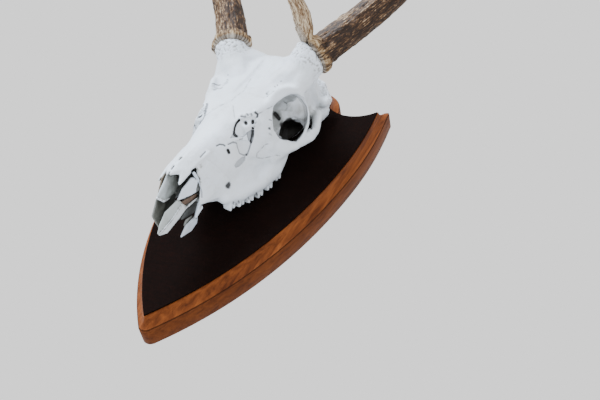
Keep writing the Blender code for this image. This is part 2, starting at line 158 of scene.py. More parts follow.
def joinPieces(pieces, name):
    deselectAll()
    for piece in pieces:
        piece.select_set(True)
    bpy.context.view_layer.objects.active = pieces[0]
    if len(pieces) > 1:
        bpy.ops.object.join()
    joined = bpy.context.active_object
    joined.name = name
    placeInMesh(joined)
    return joined


def applyModifier(piece, kind, **values):
    selectOnly(piece)
    modifier = piece.modifiers.new(kind.title(), kind)
    for key, value in values.items():
        setattr(modifier, key, value)
    bpy.ops.object.modifier_apply(modifier=modifier.name)


def remesh(piece, voxel):
    applyModifier(piece, "REMESH", mode="VOXEL", voxel_size=voxel, adaptivity=0.0)


def soften(piece, rounds, factor=0.5):
    applyModifier(piece, "SMOOTH", factor=factor, iterations=rounds)


def cutAway(piece, tool):
    applyModifier(piece, "BOOLEAN", operation="DIFFERENCE", solver="MANIFOLD", object=tool)
    bpy.data.objects.remove(tool, do_unlink=True)


def stackRings(name, rings):
    # A circle is extruded from ring to ring, and each new ring moves to its place
    deselectAll()
    bpy.ops.mesh.primitive_circle_add(vertices=len(rings[0]), radius=1.0, fill_type="NGON")
    piece = bpy.context.active_object
    piece.name = name
    mesh = piece.data
    order = mesh.attributes.new("order", "INT", "POINT")
    order.data.foreach_set("value", list(range(len(rings[0]))))
    for vertex, place in zip(mesh.vertices, rings[0]):
        vertex.co = place
    for ring in rings[1:]:
        bpy.ops.object.mode_set(mode="EDIT")
        bpy.ops.mesh.extrude_region_move()
        bpy.ops.object.mode_set(mode="OBJECT")
        order = mesh.attributes["order"].data
        for vertex in mesh.vertices:
            if vertex.select:
                vertex.co = ring[order[vertex.index].value]
    mesh.attributes.remove(mesh.attributes["order"])
    bpy.ops.object.mode_set(mode="EDIT")
    bpy.ops.mesh.select_all(action="SELECT")
    bpy.ops.mesh.remove_doubles(threshold=0.00002)
    bpy.ops.mesh.normals_make_consistent(inside=False)
    bpy.ops.object.mode_set(mode="OBJECT")
    return piece


def wrapBalls(balls):
    # The tight skin round a few balls in the skull's frame: forward, left, up, radius
    deselectAll()
    for index, (forward, left, up, radius) in enumerate(balls):
        bpy.ops.mesh.primitive_ico_sphere_add(subdivisions=2, radius=radius / 1000,
                                              location=toWorld((forward, left, up)))
        if index == 0:
            piece = bpy.context.active_object
            bpy.ops.object.mode_set(mode="EDIT")
    bpy.ops.mesh.select_all(action="SELECT")
    bpy.ops.mesh.convex_hull()
    bpy.ops.object.mode_set(mode="OBJECT")
    placeInMesh(piece)
    return piece


def otherSide(balls):
    return [(forward, -left, up, radius) for forward, left, up, radius in balls]


def wrapGroups(groups, bothSides=True):
    pieces = []
    for balls in groups:
        pieces.append(wrapBalls(balls))
        if bothSides:
            pieces.append(wrapBalls(otherSide(balls)))
    return pieces


def links(balls):
    # A run of balls as pairs, for a bar
    return [list(pair) for pair in zip(balls, balls[1:])]


def vertexArray(piece):
    places = np.empty(len(piece.data.vertices) * 3, dtype=np.float32)
    piece.data.vertices.foreach_get("co", places)
    return places.reshape(-1, 3).astype(np.float64)


def normalArray(piece):
    normals = np.empty(len(piece.data.vertices) * 3, dtype=np.float32)
    piece.data.vertices.foreach_get("normal", normals)
    return normals.reshape(-1, 3).astype(np.float64)


def setVertices(piece, places):
    piece.data.vertices.foreach_set("co", places.astype(np.float32).ravel())
    piece.data.update()


def storeValues(piece, name, values):
    attribute = piece.data.attributes.new(name, "FLOAT", "POINT")
    attribute.data.foreach_set("value", values.astype(np.float32))


def placeFinder(places):
    finder = kdtree.KDTree(len(places))
    for index, place in enumerate(places):
        finder.insert(place, index)
    finder.balance()
    return finder


def mirrored(place, side):
    return Vector((place.x * side, place.y, place.z))


def noiseAt(places, scale):
    return np.array([noise.noise(Vector(place) * scale) for place in places])


def smoothStep(values, low, high):
    share = np.clip((values - low) / (high - low), 0.0, 1.0)
    return share * share * (3 - 2 * share)


# Node helpers

def newMaterial(piece, name):
    material = bpy.data.materials.new(name)
    material.use_nodes = True
    piece.data.materials.clear()
    piece.data.materials.append(material)
    return material.node_tree, material.node_tree.nodes["Principled BSDF"]


def addNode(tree, kind, **values):
    node = tree.nodes.new(kind)
    for key, value in values.items():
        if key in node.inputs:
            node.inputs[key].default_value = value
        else:
            setattr(node, key, value)
    return node


def addRamp(tree, source, stops):
    ramp = tree.nodes.new("ShaderNodeValToRGB")
    elements = ramp.color_ramp.elements
    while len(elements) < len(stops):
        elements.new(0.5)
    for element, (place, colour) in zip(elements, stops):
        element.position = place
        element.color = (*colour, 1.0)
    tree.links.new(source, ramp.inputs["Fac"])
    return ramp.outputs["Color"]


def mixColours(tree, share, first, second, kind="MIX"):
    mix = tree.nodes.new("ShaderNodeMix")
    mix.data_type = "RGBA"
    mix.blend_type = kind
    for value, socket in ((share, mix.inputs[0]), (first, mix.inputs[6]), (second, mix.inputs[7])):
        if isinstance(value, (int, float)):
            socket.default_value = value
        elif isinstance(value, tuple):
            socket.default_value = (*value, 1.0)
        else:
            tree.links.new(value, socket)
    return mix.outputs[2]


def mathNode(tree, operation, first, second=0.5):
    node = tree.nodes.new("ShaderNodeMath")
    node.operation = operation
    for value, socket in ((first, node.inputs[0]), (second, node.inputs[1])):
        if isinstance(value, (int, float)):
            socket.default_value = value
        else:
            tree.links.new(value, socket)
    return node.outputs[0]


def scaledPlace(tree, scale):
    coordinates = tree.nodes.new("ShaderNodeTexCoord")
    mapping = tree.nodes.new("ShaderNodeMapping")
    mapping.inputs["Scale"].default_value = scale
    tree.links.new(coordinates.outputs["Object"], mapping.inputs["Vector"])
    return mapping.outputs["Vector"]


def addNoise(tree, vector, scale, detail=4.0, rough=0.55, distortion=0.0):
    node = addNode(tree, "ShaderNodeTexNoise", Scale=scale, Detail=detail, Roughness=rough,
                   Distortion=distortion)
    tree.links.new(vector, node.inputs["Vector"])
    return node.outputs["Fac"]


def addBump(tree, shader, height, strength, distance):
    bump = addNode(tree, "ShaderNodeBump", Strength=strength, Distance=distance)
    tree.links.new(height, bump.inputs["Height"])
    tree.links.new(bump.outputs["Normal"], shader.inputs["Normal"])


def readValues(tree, name):
    return addNode(tree, "ShaderNodeAttribute", attribute_name=name).outputs["Fac"]


# Shield board and its felt

boardSettings = {
    "thickness": 0.0295,
    "feltGap": 0.0003,
    "feltThickness": 0.0015,
    "halfWidth": 0.094,        # of the felt at its widest
    "drop": 0.285,             # widest line to the tip
    "shoulder": 0.068,         # widest line to the horns
    "shoulderTuck": 0.0043,
    "sidePower": 1.85,
    "sidePowerGain": 0.65,
    "scoopIn": 0.0308,
    "scoopUp": 0.0933,
    "crestHalfWidth": 0.030,
    "crestRise": 0.040,
    "crestFootUp": 0.059,
    "rim": 0.009,
    "hornReach": 2.1,
    "coveDepth": 0.010,
    "coveStart": 18,           # degrees of a quarter turn left out of the cove
    "coveSteps": 10,
    "coveLip": 0.0008,
    "quirkWidth": 0.0012,
    "quirkIn": 0.0010,
    "backEase": 0.0012,
    "hangAboveWidest": 0.040,
    "smoothAngle": 38,
}


def sideWidth(share):
    power = boardSettings["sidePower"] + boardSettings["sidePowerGain"] * share
    return boardSettings["halfWidth"] * (1.0 - share ** power)


def sideNormal(share):
    step = 0.0005
    narrowing = (sideWidth(share - step) - sideWidth(share + step)) / (2 * step * boardSettings["drop"])
    return Vector((1.0, -narrowing)).normalized()


def crestPoint(share, grow):
    turn = share * math.pi / 2
    return Vector(((boardSettings["crestHalfWidth"] + grow) * math.cos(turn),
                   boardSettings["crestFootUp"] + (boardSettings["crestRise"] + grow) * math.sin(turn)))


def halfOutline(grow, sideSteps=60, arcSteps=26, joinSteps=14):
    # From the tip up the right side, round the horn and scoop, to the top of the crest
    drop = boardSettings["drop"]
    tuck = boardSettings["shoulderTuck"]
    shoulder = boardSettings["shoulder"]
    tipNormal = sideNormal(0.999)
    tipTurn = math.atan2(tipNormal.x, -tipNormal.y)
    points = []
    for step in range(joinSteps):
        turn = tipTurn * step / joinSteps
        points.append((grow * math.sin(turn), -drop - grow * math.cos(turn)))
    for step in range(sideSteps + 1):
        share = 0.999 * (1.0 - (step / sideSteps) ** 0.85) + 0.001
        normal = sideNormal(share)
        points.append((sideWidth(share) + normal.x * grow, -drop * share + normal.y * grow))
    for step in range(1, joinSteps):
        share = step / (joinSteps - 1)
        normal = Vector((1.0, 2.0 * tuck * share / shoulder)).normalized()
        points.append((boardSettings["halfWidth"] - tuck * share ** 2 + normal.x * grow,
                       shoulder * share + normal.y * grow))
    corner = Vector((boardSettings["halfWidth"] - tuck, shoulder))
    centre = Vector((corner.x - boardSettings["scoopIn"], boardSettings["scoopUp"]))
    first = math.atan2(2.0 * tuck / shoulder, 1.0)
    last = math.atan2(centre.y - corner.y, centre.x - corner.x)
    for step in range(1, joinSteps):
        turn = first + (last - first) * step / joinSteps
        reach = grow / max(math.cos(turn - first), math.cos(last - turn), 1.0 / boardSettings["hornReach"])
        points.append((corner.x + reach * math.cos(turn), corner.y + reach * math.sin(turn)))
    radius = (centre - corner).length - grow
    low, high = 0.0, 0.3
    for step in range(40):
        middle = (low + high) / 2
        if (crestPoint(middle, grow) - centre).length < radius:
            high = middle
        else:
            low = middle
    foot = crestPoint(low, grow)
    start = math.atan2(corner.y - centre.y, corner.x - centre.x)
    end = math.atan2(foot.y - centre.y, foot.x - centre.x)
    if end > start:
        end -= 2 * math.pi
    for step in range(arcSteps + 1):
        turn = start + (end - start) * step / arcSteps
        points.append((centre.x + radius * math.cos(turn), centre.y + radius * math.sin(turn)))
    for step in range(1, arcSteps + 1):
        points.append(tuple(crestPoint(low + (1.0 - low) * step / arcSteps, grow)))
    return points


def outlineRing(grow, depth):
    half = halfOutline(grow)
    whole = half + [(-x, z) for x, z in reversed(half[1:-1])]
    return [Vector((x, -depth, z - boardSettings["hangAboveWidest"])) for x, z in whole]


def makeBoard():
    sizes = boardSettings
    bandTop = sizes["thickness"] - sizes["coveDepth"] - sizes["quirkWidth"]
    rim = sizes["rim"]
    profile = [(rim - sizes["backEase"], 0.0), (rim - sizes["backEase"] * 0.3, sizes["backEase"] * 0.3),
               (rim, sizes["backEase"]), (rim, bandTop - 0.0004), (rim - 0.0003, bandTop),
               (rim - sizes["quirkIn"], bandTop + 0.0002),
               (rim - sizes["quirkIn"], bandTop + sizes["quirkWidth"])]
    coveWidth = rim - sizes["quirkIn"] - sizes["coveLip"]
    start = math.radians(sizes["coveStart"])
    for step in range(1, sizes["coveSteps"] + 1):
        turn = start + math.radians(90 - sizes["coveStart"]) * step / sizes["coveSteps"]
        out = (math.sin(turn) - math.sin(start)) / (1.0 - math.sin(start))
        rise = (math.cos(start) - math.cos(turn)) / math.cos(start)
        profile.append((sizes["coveLip"] + coveWidth * (1.0 - out),
                        bandTop + sizes["quirkWidth"] + sizes["coveDepth"] * rise))
    board = stackRings("shieldBoard", [outlineRing(grow, depth) for grow, depth in profile])
    selectOnly(board)
    bpy.ops.object.shade_smooth_by_angle(angle=math.radians(boardSettings["smoothAngle"]))
    paintWood(board)
    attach(board, "root")
    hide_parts("shield_plaque")
    print("board made")


def paintWood(board):
    tree, shader = newMaterial(board, "satinHardwood")
    streaks = addNoise(tree, scaledPlace(tree, (1.0, 1.0, 0.035)), 190.0, 7.0, 0.62, 0.6)
    broad = addNoise(tree, scaledPlace(tree, (1.0, 1.0, 0.14)), 34.0, 3.0, 0.5)
    pores = addNoise(tree, scaledPlace(tree, (1.0, 1.0, 0.03)), 700.0, 2.0, 0.7)
    base = addRamp(tree, streaks, [(0.30, (0.075, 0.018, 0.0040)), (0.48, (0.165, 0.044, 0.0095)),
                                   (0.70, (0.27, 0.078, 0.0170))])
    tint = addRamp(tree, broad, [(0.32, (0.70, 0.62, 0.55)), (0.62, (1.0, 1.0, 1.0))])
    colour = mixColours(tree, 0.8, base, tint, "MULTIPLY")
    darkPores = addRamp(tree, pores, [(0.30, (0.40, 0.34, 0.30)), (0.44, (1.0, 1.0, 1.0))])
    colour = mixColours(tree, 0.45, colour, darkPores, "MULTIPLY")
    # The quirk is painted with a dark line of shade, and the band behind it is painted darker
    coordinates = tree.nodes.new("ShaderNodeTexCoord")
    parts = tree.nodes.new("ShaderNodeSeparateXYZ")
    tree.links.new(coordinates.outputs["Object"], parts.inputs[0])
    bandTop = boardSettings["thickness"] - boardSettings["coveDepth"] - boardSettings["quirkWidth"]
    fromQuirk = mathNode(tree, "ADD", parts.outputs["Y"], bandTop + boardSettings["quirkWidth"] * 0.4)
    line = mathNode(tree, "LESS_THAN", mathNode(tree, "ABSOLUTE", fromQuirk, 0.0),
                    boardSettings["quirkWidth"] * 0.5)
    band = mathNode(tree, "GREATER_THAN", fromQuirk, 0.0)
    colour = mixColours(tree, mathNode(tree, "MULTIPLY", band, 0.45), colour, (0.05, 0.014, 0.004))
    colour = mixColours(tree, mathNode(tree, "MULTIPLY", line, 0.60), colour, (0.020, 0.006, 0.002))
    tree.links.new(colour, shader.inputs["Base Color"])
    rough = mathNode(tree, "MULTIPLY_ADD", broad, 0.25)
    rough.node.inputs[2].default_value = 0.36
    tree.links.new(rough, shader.inputs["Roughness"])
    shader.inputs["Specular IOR Level"].default_value = 0.10
    addBump(tree, shader, pores, 0.25, 0.0006)


def makeFelt():
    back = boardSettings["thickness"] + boardSettings["feltGap"]
    front = back + boardSettings["feltThickness"]
    felt = stackRings("feltField", [outlineRing(0.0, back), outlineRing(0.0, front)])
    paintFelt(felt)
    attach(felt, "root")
    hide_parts("felt_field")
    print("felt made")


def paintFelt(felt):
    tree, shader = newMaterial(felt, "darkFelt")
    place = scaledPlace(tree, (1.0, 1.0, 1.0))
    fibres = addNoise(tree, scaledPlace(tree, (1.0, 1.0, 0.35)), 900.0, 4.0, 0.7, 1.5)
    patches = addNoise(tree, place, 38.0, 4.0, 0.6)
    rows = addNoise(tree, scaledPlace(tree, (0.2, 1.0, 1.0)), 420.0, 3.0, 0.6)
    base = addRamp(tree, fibres, [(0.35, (0.0018, 0.0008, 0.0006)), (0.72, (0.014, 0.0042, 0.0024))])
    colour = mixColours(tree, patches, base, (0.0036, 0.0016, 0.0012))
    weave = addRamp(tree, rows, [(0.35, (0.5, 0.5, 0.5)), (0.7, (1.4, 1.1, 1.0))])
    colour = mixColours(tree, 0.5, colour, weave, "MULTIPLY")
    tree.links.new(colour, shader.inputs["Base Color"])
    shader.inputs["Roughness"].default_value = 0.95
    shader.inputs["Specular IOR Level"].default_value = 0.05
    addBump(tree, shader, fibres, 0.5, 0.0008)


# Skull

skullSettings = {
    "coarseVoxel": 0.0014,
    "fineVoxel": 0.00115,
    "mostTriangles": 194000,
    "refineReach": (0.0026, 0.0014),       # from a mark, for each round of smaller faces
    "pixelReach": 0.0022,                  # most that a photograph pixel covers on the bone
    "seenWithin": 0.0016,                  # of the first bone that a look meets
    "plateSide": 0.012,                    # from the middle line, where a side's plates start
    "formSide": -0.008,                    # the same for the soft forms, which run over it
    "fineCrack": 0.5,                      # darkness up to which a crack fades in and out
    "fadeScale": 260.0,
    "tunnelWobble": (150.0, 2.5),          # noise scale, and millimetres
    "tunnelEdge": (0.8, 2.6),              # millimetres past its wall over which the painted shade ends
    "tunnelMouth": (0.2, 0.75),            # share of its first stretch over which the painted shade starts
    "tunnelPaintedShade": 0.97,
    "roughReach": (18.0, 28.0),            # millimetres from an antler's seat
    "napeRough": 0.8,
    "napeReach": 22.0,
    "grainScale": 420.0,
    "grainDepth": (0.12, 1.0),             # millimetres anywhere, and more where it is rough
    "waveScale": 90.0,
    "waveDepth": 0.3,
    "pitGrain": (0.10, 0.38),
    "shadeLeans": (0.7, 1.15),             # radians off the normal
    "shadeReach": 0.045,
    "shadeStart": 0.0012,
    "shadeEvery": 4,
    "flareReach": {"antlerLeft": 17.6, "antlerRight": 15.6},
    "flareBall": 3.2,
    "massRounds": 13,
    "fineRounds": 2,
    "orbitCentre": (114.9, 44.6, 75.6),
    "orbitAlong": (40.0, -21.0, 12.0),
    "orbitUp": (-8.0, -1.0, 51.0),
    "orbitRadii": (25.0, 27.5),
    "orbitBar": 2.8,
    "tunnel": [(101, 42, 57, 10), (87, 34, 52, 11), (73, 26, 46, 11), (60, 22, 36, 12), (56, 26, 12, 12)],
    "plateVoxel": 0.0008,
    "toothRow": [(201, 25.5), (188, 28), (174, 30.5), (159, 33), (143, 35), (127, 36.5)],
    "toothLength": 13.0,
    "toothCrown": [15.5, 16.5, 17.5, 17.5, 15.0, 10.0],
}
# forward, top, bottom, half width at the top and at the bottom, squareness
headSections = [
    (238, 70, 24, 14, 18, 2.8), (222, 74, 16, 15, 21, 2.8), (206, 78, 12, 17.5, 32, 2.9),
    (186, 84, 11, 23, 37, 3.0), (168, 91, 11, 25, 42, 3.0), (150, 97, 12, 37, 38, 3.0),
    (134, 101, 15, 37, 32, 3.0), (118, 104, 20, 32, 23, 2.6), (95, 108, 22, 30, 22, 2.4),
    (72, 117, 22, 34, 26, 2.3), (48, 119, 24, 37, 32, 2.2), (26, 110, 30, 37, 34, 2.2),
    (8, 94, 38, 31, 32, 2.2), (-6, 78, 45, 20, 24, 2.2),
]
browSections = [
    (176, 86, 80, 19, 19, 2.4), (160, 93, 80, 28, 29, 2.5), (146, 98, 84, 35, 36, 2.6),
    (128, 103, 90, 41, 42, 2.8), (110, 107, 94, 47, 47, 3.0), (95, 111, 94, 50, 49, 3.0),
    (80, 116, 95, 49, 46, 3.0), (64, 121, 98, 44, 42, 2.6), (50, 121, 100, 36, 36, 2.4),
]


def sectionRings(sections, sides=48):
    rings = []
    for forward, top, bottom, wideTop, wideBottom, power in sections:
        ring = []
        for step in range(sides):
            turn = 2 * math.pi * step / sides
            across = math.cos(turn)
            rise = math.copysign(abs(math.sin(turn)) ** (2 / power), math.sin(turn))
            share = (rise + 1) / 2
            width = wideBottom + (wideTop - wideBottom) * share
            left = math.copysign(abs(across) ** (2 / power), across) * width
            ring.append(toWorld((forward, left, bottom + (top - bottom) * share)))
        rings.append(ring)
    return rings


def orbitFrame():
    centre = Vector(skullSettings["orbitCentre"])
    along = Vector(skullSettings["orbitAlong"]).normalized()
    up = Vector(skullSettings["orbitUp"]).normalized()
    outward = along.cross(up)
    if outward.y < 0:
        outward.negate()
    return centre, along, up, outward


def orbitRim():
    centre, along, up, outward = orbitFrame()
    bar = skullSettings["orbitBar"]
    balls = []
    for step in range(25):
        turn = 2 * math.pi * step / 24
        place = (centre + along * math.cos(turn) * (skullSettings["orbitRadii"][0] + bar * 0.8)
                 + up * math.sin(turn) * (skullSettings["orbitRadii"][1] + bar * 0.8))
        balls.append((*place, bar))
    return balls


def makeHeadMass():
    groups = links(orbitRim())
    # Stalks for the antlers, broad at the foot
    groups += links([(90, 27, 98, 19), (78, 37, 109, 18.5), (66, 46.5, 122.5, 17.5)])
    groups.append([(96, 46, 100, 8), (84, 45, 104, 12), (68, 46, 119, 16), (72, 38, 119, 13),
                   (60, 30, 116, 13), (56, 18, 112, 12), (52, 26, 106, 12)])
    # Cheek before and under the socket
    groups.append([(129, 36, 86, 5), (127, 41, 60, 5), (167, 28, 79, 6), (158, 33, 79, 5), (154, 39, 66, 4),
                   (170, 31, 54, 6), (142, 37, 40, 6)])
    groups.append([(150, 33, 30, 6), (128, 40, 40, 6), (116, 47, 46, 4.5), (127, 41, 60, 5),
                   (165, 31, 40, 6)])
    groups += links([(140, 38, 38, 6.5), (120, 46, 43, 5.5), (102, 52, 45, 5.5), (84, 56, 46, 5),
                     (68, 53, 47, 5), (50, 46, 50, 5.5), (34, 38, 54, 7)])
    groups.append([(84, 56, 52, 4), (84, 56, 46, 4.5), (70, 53, 48, 4.5), (100, 53, 47, 4.5)])
    # Nape crest and ear knobs
    groups += links([(2, 36, 60, 5.5), (-2, 27, 76, 5.5), (-4, 0, 84, 7)])
    groups += links([(26, 31, 46, 9), (10, 34, 50, 8)])
    groups += links([(18, 37, 62, 6), (4, 37, 60, 5)])
    # Gums
    groups += links([(208, 23, 18, 6), (186, 28, 15, 7.5), (156, 32, 16, 8), (138, 35, 20, 8)])
    groups.append([(156, 32, 16, 8), (138, 35, 20, 8), (122, 37, 24, 6), (118, 41, 36, 5.5),
                   (140, 37, 38, 6)])
    pieces = wrapGroups(groups)
    for name, side in (("antlerLeft", 1), ("antlerRight", -1)):
        pieces.append(wrapBalls(seatFlare(name, side)))
    pieces.append(stackRings("head", sectionRings(headSections)))
    pieces.append(stackRings("brow", sectionRings(browSections)))
    mass = joinPieces(pieces, "headMass")
    remesh(mass, skullSettings["coarseVoxel"])
    soften(mass, skullSettings["massRounds"])
    return mass


def beamFoot(name):
    # Where a beam starts, its way, and two directions square to that
    start, ahead = [Vector(point) for point in antlerSettings["beams"][name][:2]]
    along = (ahead - start).normalized()
    across = along.cross(Vector((1.0, 0.0, 0.0))).normalized()
    return start, along, across, along.cross(across).normalized()


def seatFlare(name, side):
    # The stalk widens to a rough disc right under the burr
    foot, along, across, beside = beamFoot(name)
    ball = skullSettings["flareBall"]
    balls = [(78, 37, 109, 17)]
    for step in range(12):
        turn = math.radians(30 * step)
        out = (across * math.cos(turn) + beside * math.sin(turn)) * skullSettings["flareReach"][name]
        balls.append((*(foot - along * ball + out), ball))
    return balls if side > 0 else otherSide(balls)


def makeHollows():
    # Nose
    groups = [[(290, 0, 38, 14), (262, 0, 42, 13)],
              [(262, 7, 44, 5), (262, -7, 44, 5), (232, 9, 58, 5), (232, -9, 58, 5), (230, 8, 36, 6),
               (230, -8, 36, 6), (250, 8, 28, 5), (250, -8, 28, 5), (200, 4, 62, 6), (200, -4, 62, 6),
               (200, 5, 40, 6), (200, -5, 40, 6)]]
    # Palate
    groups.append([(214, 0, 4, 8), (200, 12, 4, 8), (200, -12, 4, 8), (118, 17, 6, 9), (118, -17, 6, 9),
                   (100, 0, 8, 10)])
    pieces = wrapGroups(groups, bothSides=False)
    # Sockets, open below and behind
    centre, along, up, outward = orbitFrame()
    mouth = centre + outward * 14
    deep = centre - outward * 6 + Vector((-4.0, 0.0, -1.0))
    end = centre - outward * 15 + Vector((-6.0, 0.0, -4.0))
    paired = links([(*mouth, 24.0), (*deep, 24.5), (*end, 18.0)])
    paired += links([(96, 34, 72, 15), (78, 41, 66, 13), (60, 44, 70, 9)])
    paired.append([(104, 38, 60, 12), (98, 38, 30, 12), (76, 42, 60, 9), (76, 40, 30, 10)])
    paired += links([(99, 45, 60, 8), (82, 41, 52, 13), (66, 33, 44, 13), (58, 30, 34, 12), (56, 30, 12, 12)])
    paired += links(skullSettings["tunnel"])
    # Slits behind the tips of the snout, and the canal in the cheek
    paired.append([(262, 8, 14, 2.6), (240, 9, 20, 3), (240, 9, 2, 3), (262, 8, -4, 2.6)])
    paired += links([(207, 34, 31, 2.4), (199, 20, 33, 2.4)])
    hollows = joinPieces(pieces + wrapGroups(paired), "hollows")
    remesh(hollows, skullSettings["coarseVoxel"])
    return hollows


def makeFaceAndTeeth():
    # Nose bones with their prongs, the front of the face and the cheek teeth
    groups = [[(215, 2, 74, 2), (250, 2, 66.5, 1.5), (215, 14, 67, 2), (247, 12, 60, 1.5)],
              [(250, 2, 66.5, 1.5), (262, 1.5, 60.5, 1.2), (255, 6, 62, 1.2), (247, 12, 60, 1.5)],
              [(250, 7, 63, 1.4), (247, 13, 59, 1.5), (263, 11.5, 52.5, 1.2)],
              [(239, 16.3, 24.5, 1.6), (222, 17, 23.5, 2), (211, 18, 22, 2.5), (203, 23, 23, 3),
               (204, 27.5, 36, 3), (235, 16, 50, 1.8), (222, 16, 60, 2.5)]]
    half = skullSettings["toothLength"] / 2
    for (forward, left), crown in zip(skullSettings["toothRow"], skullSettings["toothCrown"]):
        for shift in (-0.25, 0.25):
            place = forward + shift * half * 2
            groups.append([(place, left, 19.0, 3.6), (place, left + 1.5, 21.5 - crown, 1.8),
                           (place, left - 4.0, 23.0 - crown, 2.0),
                           (forward + shift * half * 0.4, left - 4.0, 19.0, 4.0)])
    return wrapGroups(groups)


# Thin bones of the snout: balls of each tight skin, whether both sides have it, and its tone, which is
# painted shade for the grey and dark plates inside the nose and for the blade's left plane
snoutPlates = {
    "floorBar": ([[(238, 15.5, 20, 2.4), (246, 14.5, 13.5, 1.6)]], True, (0.95, 0.96, 1.0)),
    "leftBar": ([[(243, 14.5, 57, 1.6), (238, 15.5, 48, 2.2)], [(238, 15.5, 48, 2.2), (235.5, 16, 37, 2.4)],
                 [(235.5, 16, 37, 2.4), (237, 15.8, 29, 2.2)], [(237, 15.8, 29, 2.2), (240, 15.2, 23, 2.0)],
                 [(240, 15.2, 23, 2.0), (245.5, 15, 15.5, 1.6)],
                 [(245.5, 15, 15.5, 1.6), (242, 12.5, 11, 1.3)]], False, (0.84, 0.88, 0.96)),
    "endPiece": ([[(241, 12, 12, 1.3), (242, 11.5, 5, 1.3), (251, 11, 0.5, 1.2), (267, 11, 0.5, 0.9),
                   (258, 11, 8, 1.1)]], False, (0.72, 0.74, 0.78)),
    "endFlap": ([[(245, 9, 12, 0.9), (253, 8, 11.5, 0.9), (254, 9, 5, 0.9), (258, 9, 8, 0.9)]], False,
                (0.36, 0.35, 0.32)),
    "rightPlate": ([[(236, -15, 54, 1.4), (230, -17, 32, 1.8), (267, -13, 35, 1.1), (277.5, -12, 22, 1.1),
                     (272.5, -9.5, 9, 1.1), (244, -15, 18, 1.8)]], False, (0.30, 0.295, 0.26)),
    "strip": ([[(256, -9, 57, 1.2), (262, -8.5, 55, 1.0), (266, -9, 37, 1.3), (271, -8.5, 39, 1.0)]], False,
              (0.24, 0.18, 0.125)),
    "scroll": ([[(258, -5, 57, 1.0), (247, -4.5, 55, 1.0), (243, -5, 42, 1.0), (250, -5, 36.5, 1.0),
                 (266, -5, 35, 1.0), (276, -5, 42, 1.0), (265, -4.5, 50, 1.0)]], False, (0.66, 0.68, 0.66)),
    "scrollLip": ([[(277.5, -4.5, 42, 1.1), (268, -4.5, 35, 1.4)],
                   [(268, -4.5, 35, 1.4), (258, -5, 34, 1.0)]], False, (1.0, 1.0, 1.0)),
    "bladeTop": ([[(244, 12, 52, 0.9), (239.5, 15.6, 50.3, 0.9), (237.6, 16.2, 44.3, 0.9),
                   (236.8, 15.6, 36.8, 0.9), (259, 5, 34, 0.9), (255, 8.5, 44, 0.9)]], False,
                 (0.92, 0.94, 1.0)),
    "bladeHollow": ([[(238, 12.5, 34, 1), (236, 11.5, 30, 1), (250, 4.5, 25, 1), (256, 4, 29, 1)]], False,
                    (0.17, 0.105, 0.07)),
    "bladeEdge": ([[(237, 13, 30, 0.9), (250, 7, 22.5, 1.0)]], False, (1.0, 1.0, 1.0)),
    # The blade's left plane is painted in shade, darker than its right
    "bladeLeft": ([[(259, 5, 34, 0.9), (275, 1.5, 27, 0.9), (284, 0.5, 17, 1.0), (287, 0, 10.5, 1.0),
                    (252, 4.5, 27.5, 1.2), (268, 3, 18, 1.0)]], False, (0.60, 0.61, 0.56)),
    "bladeRidge": ([[(253, 5.4, 28.2, 0.9), (269, 4.2, 18.8, 0.9)],
                    [(269, 4.2, 18.8, 0.9), (286, 1.4, 10.4, 0.9)]], False, (1.0, 1.0, 1.0)),
    "bladeRight": ([[(252, 4.5, 27, 1.3), (249, 6.5, 22.5, 1.2), (264, 5, 15.5, 1.2), (277, 2.5, 8, 1.2),
                     (285, 0, 8.5, 1.2), (268, 4, 17, 1.3)]], False, (0.80, 0.79, 0.76)),
    # Painted shade: a near black wall deep in the nose
    "darkWall": ([[(231, 7, 24, 1), (233, 7, 15, 1), (247, 6, 11.5, 1), (256, 5, 13.5, 1),
                   (248, 5, 21, 1)]], False, (0.11, 0.11, 0.105)),
    "floor": ([[(225, 4, 24, 4), (225, -4, 24, 4), (248, 3, 19, 2.0), (266, -2, 8.5, 1.6),
                (280, -2, 7.5, 1.2)]], False, (0.6, 0.6, 0.57)),
}


def storeToneAndShade(piece, toneAndShade):
    attribute = piece.data.attributes.new("toneAndShade", "FLOAT_COLOR", "POINT")
    attribute.data.foreach_set("color", [*toneAndShade, 1.0] * len(piece.data.vertices))


def makeSnout():
    pieces = []
    for name, (groups, bothSides, toneAndShade) in snoutPlates.items():
        plate = joinPieces(wrapGroups(groups, bothSides), name)
        remesh(plate, skullSettings["plateVoxel"])
        soften(plate, 2)
        storeToneAndShade(plate, toneAndShade)
        pieces.append(plate)
    return pieces


def cutAtFelt(skull):
    # The skull stands flat on the felt
    front = -(skullFrame["feltFront"] + 0.3) / 1000
    selectOnly(skull)
    bpy.ops.object.mode_set(mode="EDIT")
    bpy.ops.mesh.select_all(action="SELECT")
    bpy.ops.mesh.bisect(plane_co=(0.0, front, 0.0), plane_no=(0.0, -1.0, 0.0), use_fill=True,
                        clear_inner=True)
    bpy.ops.object.mode_set(mode="OBJECT")
